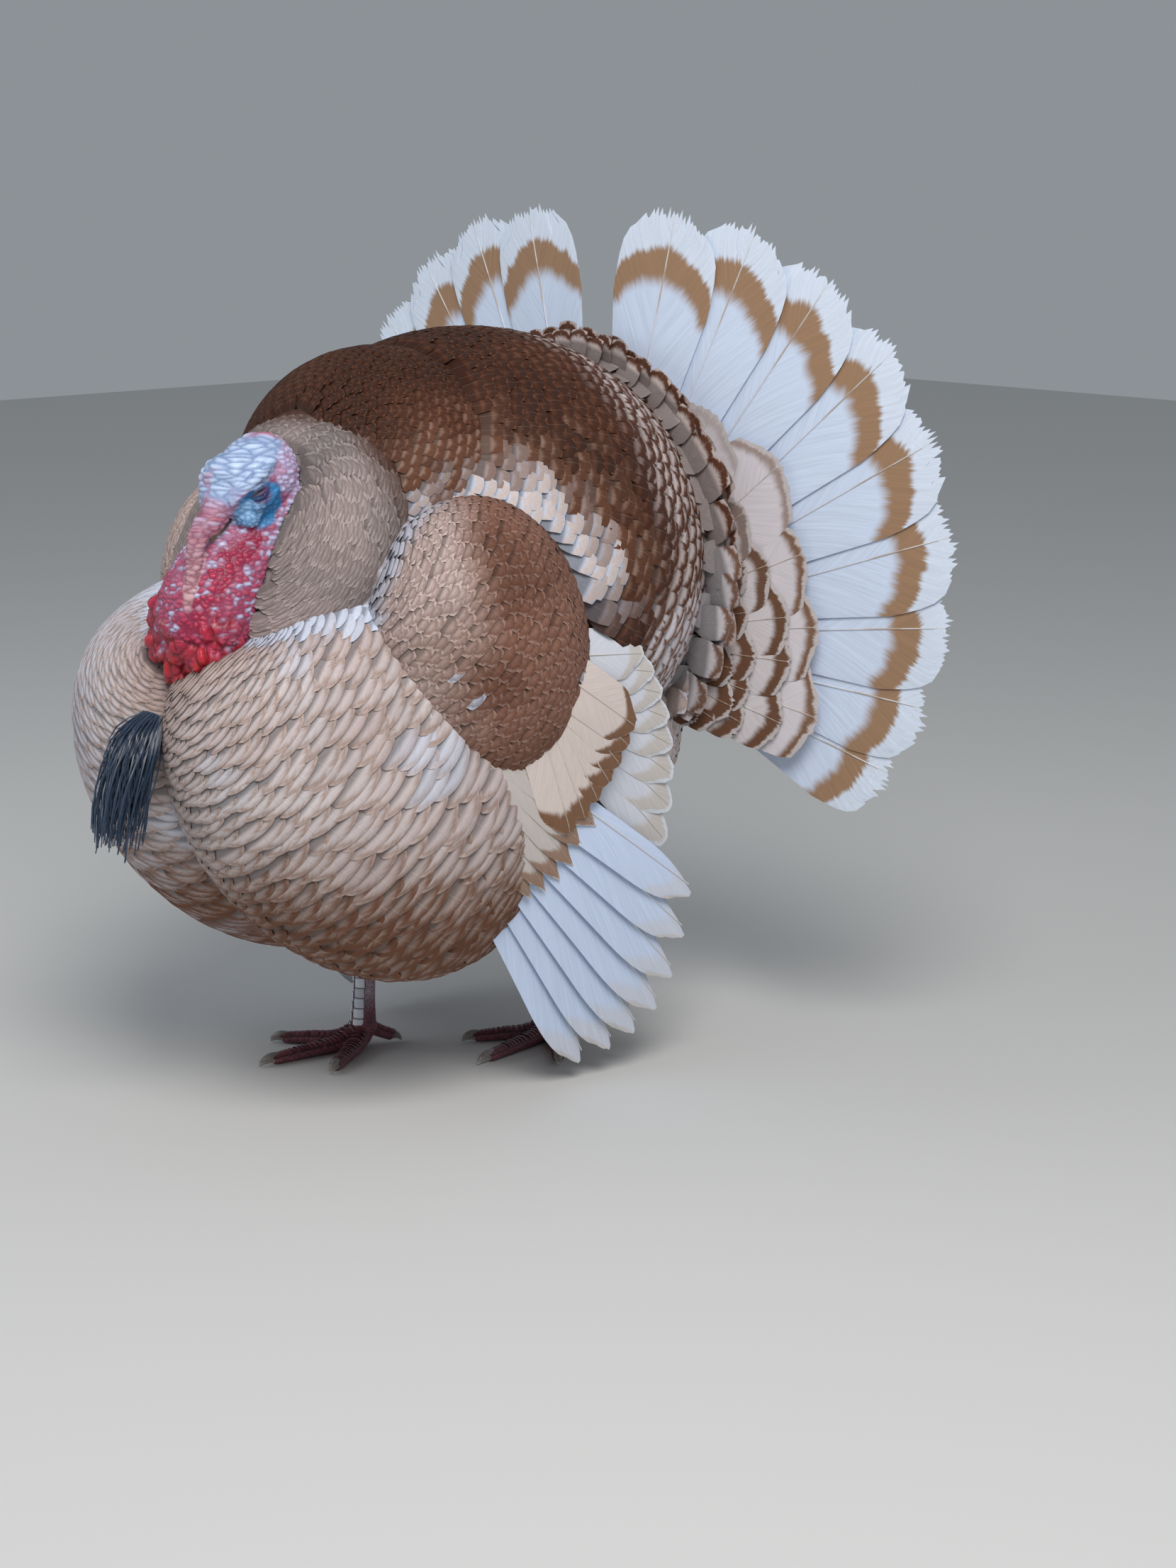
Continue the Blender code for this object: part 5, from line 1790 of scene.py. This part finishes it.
BARE, UNDER, LEG_SKIN = bare_material(), under_material(), leg_material()
skin_mesh.materials.clear()
skin = dressed("skin", skin_mesh, UNDER, BARE, LEG_SKIN, sharp=0)
SKIN_SLOTS = np.array((0, 1, 1, 2, 2), np.int32)      # material of each region
skin_mesh.polygons.foreach_set("material_index", SKIN_SLOTS[unwrap(skin_mesh)])
skin_mesh.update()
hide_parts("breast", "neck", "trunk", "rump", "head", "neck_skin", "caruncles", "snood",
            *[f"{part}_{side}" for side in FOOT for part in ("thigh", "shank", "foot")],
            "wing_left_shoulder", "wing_right_shoulder")

# %% [markdown]
# ## Eyes, bill, spurs and claws
# These stay pieces of their own, because on the bird they are harder and shinier than skin. The
# eyeball shows only through the slit of the lids. Horn is built up in thin sheets, so the bill,
# spurs and claws are smooth and darker at the root.

# %% Horn


def horn_material(name, rough=0.35, coat=0.3):
    """Smooth horn that takes its colour from the mesh."""
    n = Nodes(name)
    streak = n.noise(n.place(), 420.0, 3.0, 0.6)
    colour = n.shaded(n.attribute("base"), n.math("MULTIPLY_ADD", streak, 0.35, 0.82))
    return n.finish(colour, rough, streak, 0.25, 0.0005, Coat_Weight=coat, Coat_Roughness=0.15)


def plain_piece(name, shapes, material, paint, replaces=None):
    """A piece from swept or ball shapes, painted by a function of place."""
    mesh = solid(name, shapes)
    painted(mesh, paint(read(mesh.vertices)))
    obj = dressed(name, mesh, material, sharp=0)
    if replaces:
        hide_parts(replaces)


HORN = horn_material("horn")
EYE_GLOSS = horn_material("eye_gloss", 0.06, 1.0)
print("horn and eye gloss ready")

# %% Eyeballs


def eye_paint(centre, out):
    """Dark pupil, brown iris, darker rim."""
    def paint(p):
        across = np.arccos(np.clip(unit(p - centre) @ out, -1, 1))
        iris = mix((0.060, 0.022, 0.008), (0.015, 0.006, 0.004), ease(0.40, 0.75, across))
        return mix((0.002, 0.002, 0.003), iris, ease(0.34, 0.38, across))
    return paint


for side, s in SIDES:
    x, f, u = EYE_SPOT
    centre = head_point(s * x, f, u)
    out = unit(HEAD_TURN @ np.array((s * 0.95, -0.25, 0.05)))
    plain_piece(f"eyeball_{side}", [(centre + BALL * EYE_R, BALL_FACES)], EYE_GLOSS,
                eye_paint(centre, out), f"eye_{side}")

# %% Lids


def lid_paint(centre, top):
    """Bluish upper lid and purple lower one."""
    def paint(p):
        return mix((0.14, 0.04, 0.14), (0.06, 0.07, 0.14), ease(0.0, 0.001, (p - centre) @ top))
    return paint


for side, s in SIDES:
    centre, out, front, top = eye_axes(s)
    rims = []
    for edge in (LID_UPPER, -LID_LOWER):
        a = np.linspace(-LID_REACH, LID_REACH, 9)
        slit = 1 - (a / LID_REACH) ** 2
        b = LID_TILT * a + edge * slit
        way = unit(np.outer(a, front) + np.outer(b, top) + np.outer(np.sqrt(1 - a * a - b * b), out))
        places = centre + way * (EYE_R + 0.0001)
        rim = [(*place, half, half) for place, half in zip(places, 0.0010 + 0.0004 * slit)]
        rims.append(swept(rim, 28, 12, tuple(out)))
    plain_piece(f"lids_{side}", rims, BARE, lid_paint(centre, top))

# %% Bill
UPPER_BILL = [(0, 0.026, 0.001, 0.0125, 0.0095), (0, 0.046, -0.0005, 0.0112, 0.0082),
              (0, 0.060, -0.004, 0.0085, 0.0060), (0, 0.071, -0.009, 0.0050, 0.0038),
              (0, 0.0765, -0.0155, 0.0018, 0.0018)]
LOWER_BILL = [(0, 0.026, -0.0150, 0.0118, 0.0048), (0, 0.046, -0.0145, 0.0098, 0.0042),
              (0, 0.060, -0.0155, 0.0066, 0.0032), (0, 0.0665, -0.0160, 0.0030, 0.0018)]


def bill_paint(p):
    """Dark horn at the root and edge, yellowish towards the tip, with slit nostrils."""
    left, forward, up = head_frame(p)
    colour = mix((0.050, 0.048, 0.045), (0.36, 0.28, 0.17), ease(0.044, 0.066, forward))
    edge = ease(-0.0075, -0.0095, up) * ease(0.062, 0.056, forward)
    colour = mix(colour, (0.09, 0.075, 0.06), edge)
    # The nostril is no hole in the mesh: a dark slit painted where its shade would be.
    nostril = np.hypot((forward - 0.048) * 0.6, (up - 0.0035) * 1.5)
    return mix(colour, (0.008, 0.006, 0.006), ease(0.0035, 0.0022, nostril) * (left > 0.004))


plain_piece("bill_upper", [swept(placed(UPPER_BILL), 40, 32, head_side, 0.5)], HORN, bill_paint,
            "beak_upper")
plain_piece("bill_lower", [swept(placed(LOWER_BILL), 36, 28, head_side, 0.5)], HORN, bill_paint,
            "beak_lower")

# %% Claws and spurs
SPUR_LINE = ((0.003, 0.006, 0.070, 0.0062), (0.006, 0.018, 0.071, 0.0052),
             (0.009, 0.028, 0.0745, 0.0030), (0.010, 0.034, 0.0785, 0.0010))  # in, back, up, radius


def claw_paint(p):
    """Pale horn, darker where it leaves the toe."""
    pale = ease(0.0060, 0.0025, p[:, 2]) + 0.4 * wander(p, 300.0)
    return mix((0.20, 0.18, 0.17), (0.46, 0.42, 0.36), pale)


def spur_paint(root):
    """The shank's skin at the root, yellowish horn at the point."""
    def paint(p):
        far = np.linalg.norm(p - root, axis=1)
        return mix((0.34, 0.20, 0.24), (0.36, 0.31, 0.18), ease(0.016, 0.028, far))
    return paint


for side in FOOT:
    claws = []
    for share, angle in TOES:
        way = toe_way(side, angle)
        claw = design(toe_stations(side, way, TOE_REACH * share, CLAW_LINE))
        claws.append(swept(claw, 20, 16, level_side(way)))
    claws.append(swept(design(hind_stations(side, HIND_CLAW_LINE)), 16, 16))
    plain_piece(f"claws_{side}", claws, HORN, claw_paint)
    inward = 1 if side == "right" else -1
    x, y, _ = FOOT[side]
    spur = [(x + inward * aside, y + back, z, half, half) for aside, back, z, half in SPUR_LINE]
    root = np.array((x, y, 0.07)) + SHIFT
    plain_piece(f"spur_{side}", [swept(design(spur), 24, 20)], HORN, spur_paint(root))

# %% [markdown]
# ## Scales of the legs
# Large plates run down the front of the shank in two staggered columns, and narrow ones cross
# every toe. Each is a thin curved shell that overlaps the next, like the feathers do.

# %% Scutes


def scale_material():
    """Hard scale with a dark rim."""
    n = Nodes("scales")
    u, v = n.vane()
    edges = [n.math("MINIMUM", way, n.math("SUBTRACT", 1.0, way)) for way in (u, v)]
    inner = n.step(0.02, 0.16, n.math("MINIMUM", *edges))
    grain = n.noise(n.place(), 700.0, 3.0, 0.6)
    colour = n.mix(inner, n.attribute("band"), n.attribute("base"))
    colour = n.shaded(colour, n.math("MULTIPLY_ADD", grain, 0.4, 0.8))
    return n.finish(colour, 0.42, grain, 0.3, 0.0004)


SCALES = scale_material()
print("scale material ready")

# %% One scale


def shell(centre, ahead, across, up, radii, arc, length, rise, rows):
    """A curved plate on a bar of the given radii, across and up.

    arc is from where to where it reaches round the bar, in degrees, 0 on top. It runs ahead for
    its length, and stands off the bar by rise.
    """
    u, v = net(rows, 8, -1)
    a = np.radians((arc[0] + arc[1]) / 2 + (arc[1] - arc[0]) / 2 * u)
    bulge = rise * ((0.15 + 0.85 * v) * np.maximum(1 - u ** 4, 0.0) + 0.1)
    return (centre + ahead * (length * v)[..., None]
            + across * (np.sin(a) * (radii[0] + bulge))[..., None]
            + up * (np.cos(a) * (radii[1] + bulge))[..., None])


def scute(bundle, slot, plate, thick, dark, light, rim):
    """One scale, of a tone of its own between dark and light."""
    tone = mix(dark, light, rng.uniform(0, 1))
    bundle.add(lens(plate, np.full(plate.shape[:2], thick)), slot, base=tone, band=rim)


# %% Scales of shanks and toes
SHANK_PLATES = 12        # in each column
SHANK_ARCS = ((-66, -2), (2, 66))
UP = np.array((0, 0, 1.0))


def shank_scutes(bundle, side, total):
    """Two staggered columns of pale plates down the front of a shank."""
    stations = np.array(shank_stations(side))
    front = toe_way(side, 0.0)
    for column, arc in enumerate(SHANK_ARCS):
        for k in range(SHANK_PLATES):
            z = 0.138 - 0.0098 * (k + 0.5 * column)
            x, y, wide, deep = (np.interp(z, stations[:, 2], stations[:, i]) for i in (0, 1, 3, 4))
            plate = shell(np.array((x, y, z)) + SHIFT, -UP, np.cross(front, UP), front,
                          (wide + 0.0002, deep + 0.0002), arc, 0.0108, 0.0011, 4)
            scute(bundle, (k + SHANK_PLATES * column, total), plate, 0.0010,
                  (0.55, 0.58, 0.66), (0.78, 0.82, 0.90), (0.075, 0.060, 0.065))


def toe_scutes(bundle, stations, plates, first, total):
    """Narrow wine-red plates across the top of one toe."""
    line = curve(stations, 60)
    path = line[:, :3]
    pitch = np.linalg.norm(path[-1] - path[0]) * 0.84 / plates
    for k in range(plates):
        i = int((0.10 + 0.84 * k / plates) * 59)
        way = unit(path[min(i + 1, 59)] - path[max(i - 1, 0)])
        level = unit(np.cross(UP, way))
        plate = shell(path[i] + SHIFT, way, level, np.cross(way, level),
                      (line[i, 3] + 0.0001, line[i, 4] + 0.0001), (-62, 62), pitch * 1.25, 0.0009, 3)
        scute(bundle, (first + k, total), plate, 0.0008,
              (0.115, 0.030, 0.042), (0.25, 0.075, 0.090), (0.050, 0.016, 0.022))


print("shank plates:", SHANK_PLATES * len(SHANK_ARCS))

# %% Both legs in scales
for side in FOOT:
    scutes = Bundle()
    number, total = 2 * SHANK_PLATES, 2 * SHANK_PLATES + 80
    shank_scutes(scutes, side, total)
    toes = [(toe_stations(side, toe_way(side, angle), TOE_REACH * share, TOE_LINE), int(23 * share))
            for share, angle in TOES]
    for stations, plates in toes + [(hind_stations(side, HIND_LINE), 6)]:
        toe_scutes(scutes, stations, plates, number, total)
        number += plates
    scutes.piece(f"scutes_{side}", SCALES)

# %% [markdown]
# ## The beard
# The beard is a tassel of stiff black bristles, modified feathers that hang from the breast.
# Each one is a thin bar of its own that bends a little outward and ends where it broke off.

# %% Bristles
BEARD_ROOT = np.array((0.000, -0.308, 0.366))
BEARD_TIP = np.array((-0.002, -0.350, 0.264))


def bristle_material():
    """Blue-black shiny bristle."""
    n = Nodes("bristles")
    colour = n.mix(n.noise(n.place(), 260.0), (0.009, 0.019, 0.038), (0.036, 0.068, 0.130))
    return n.finish(colour, 0.38, Sheen_Weight=0.1)


beard = Bundle()
BRISTLES = 330
for k in range(BRISTLES):
    turn, far = rng.uniform(0, 2 * math.pi), math.sqrt(rng.uniform())
    aside = np.array((math.cos(turn), -0.6 * math.sin(turn) - 0.1, 0.35 * math.sin(turn)))
    root = BEARD_ROOT + aside * far * 0.011
    tip = BEARD_TIP + aside * far * 0.022 + rng.normal(0, 0.005, 3) * (1, 1, 0.5)
    length = rng.uniform(0.45, 1.08)
    t = np.linspace(0, 1, 7)[:, None]
    bow = (aside * 0.010 * far + (0.0, -0.007, 0.004)) * np.sin(math.pi * t)
    path = root + (tip - root) * t * length + bow + rng.normal(0, 0.0022, 3) * np.sin(5.0 * t)
    beard.add(tube(path + SHIFT, 0.00085 * (1 - 0.45 * t[:, 0]), 4), (k, BRISTLES))
beard = beard.piece("beard_bristles", bristle_material())
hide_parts("beard")

# %% [markdown]
# ## Studio
# A plain pale floor, a soft sky all round and one broad lamp above give even light with soft
# shadows. The camera stands a little above the bird's back and off its left shoulder.

# %% Floor and lamp helpers


def stage_floor():
    """A wide pale floor."""
    mesh = bpy.data.meshes.new("floor")
    bm = bmesh.new()
    bmesh.ops.create_grid(bm, x_segments=1, y_segments=1, size=6.0)
    bm.to_mesh(mesh)
    bm.free()
    n = Nodes("floor_paper")
    mesh.materials.append(n.finish((0.64, 0.64, 0.63, 1.0), 0.9))
    obj = bpy.data.objects.new("floor", mesh)
    bpy.context.scene.collection.objects.link(obj)


def lamp(name, place, target, size, power, colour):
    """A square soft lamp that faces its target."""
    data = bpy.data.lights.new(name, "AREA")
    data.size, data.energy, data.color = size, power, colour
    obj = bpy.data.objects.new(name, data)
    obj.location = place
    obj.rotation_euler = (Vector(target) - Vector(place)).to_track_quat("-Z", "Y").to_euler()
    bpy.context.scene.collection.objects.link(obj)


def sky(strength):
    """Even pale light from everywhere."""
    world = bpy.data.worlds.new("soft_sky")
    world.use_nodes = True
    back = world.node_tree.nodes["Background"]
    back.inputs["Color"].default_value = (0.86, 0.93, 1.0, 1.0)
    back.inputs["Strength"].default_value = strength
    bpy.context.scene.world = world


# %% The lit set
bpy.context.scene.view_settings.view_transform = "Standard"
stage_floor()
lamp("broad_lamp", (1.9, -1.2, 2.7), (0, 0, 0.35), 1.5, 80.0, (1.0, 0.975, 0.95))
lamp("side_lamp", (-1.6, -1.8, 1.6), (0, 0, 0.4), 1.8, 14.0, (0.90, 0.95, 1.0))
sky(0.31)

# %% Camera
CAMERA_PLACE = (1.948, -1.628, 0.843)
CAMERA_AZIMUTH, CAMERA_HEIGHT = 47.0, 13.0       # degrees round from the front, and up
LENS, FILM = 65.0, 36.0                          # millimetres

camera = bpy.data.cameras.new("camera")
camera.lens, camera.sensor_width = LENS, FILM
camera_stand = bpy.data.objects.new("camera", camera)
camera_stand.location = np.array(CAMERA_PLACE) + SHIFT
azimuth, height = math.radians(CAMERA_AZIMUTH), math.radians(CAMERA_HEIGHT)
level = math.cos(height)
away = Vector((math.sin(azimuth) * level, -math.cos(azimuth) * level, math.sin(height)))
camera_stand.rotation_euler = away.to_track_quat("Z", "Y").to_euler()
bpy.context.scene.collection.objects.link(camera_stand)
bpy.context.scene.camera = camera_stand
print("camera at", tuple(round(x, 3) for x in camera_stand.location))

# %% Finish
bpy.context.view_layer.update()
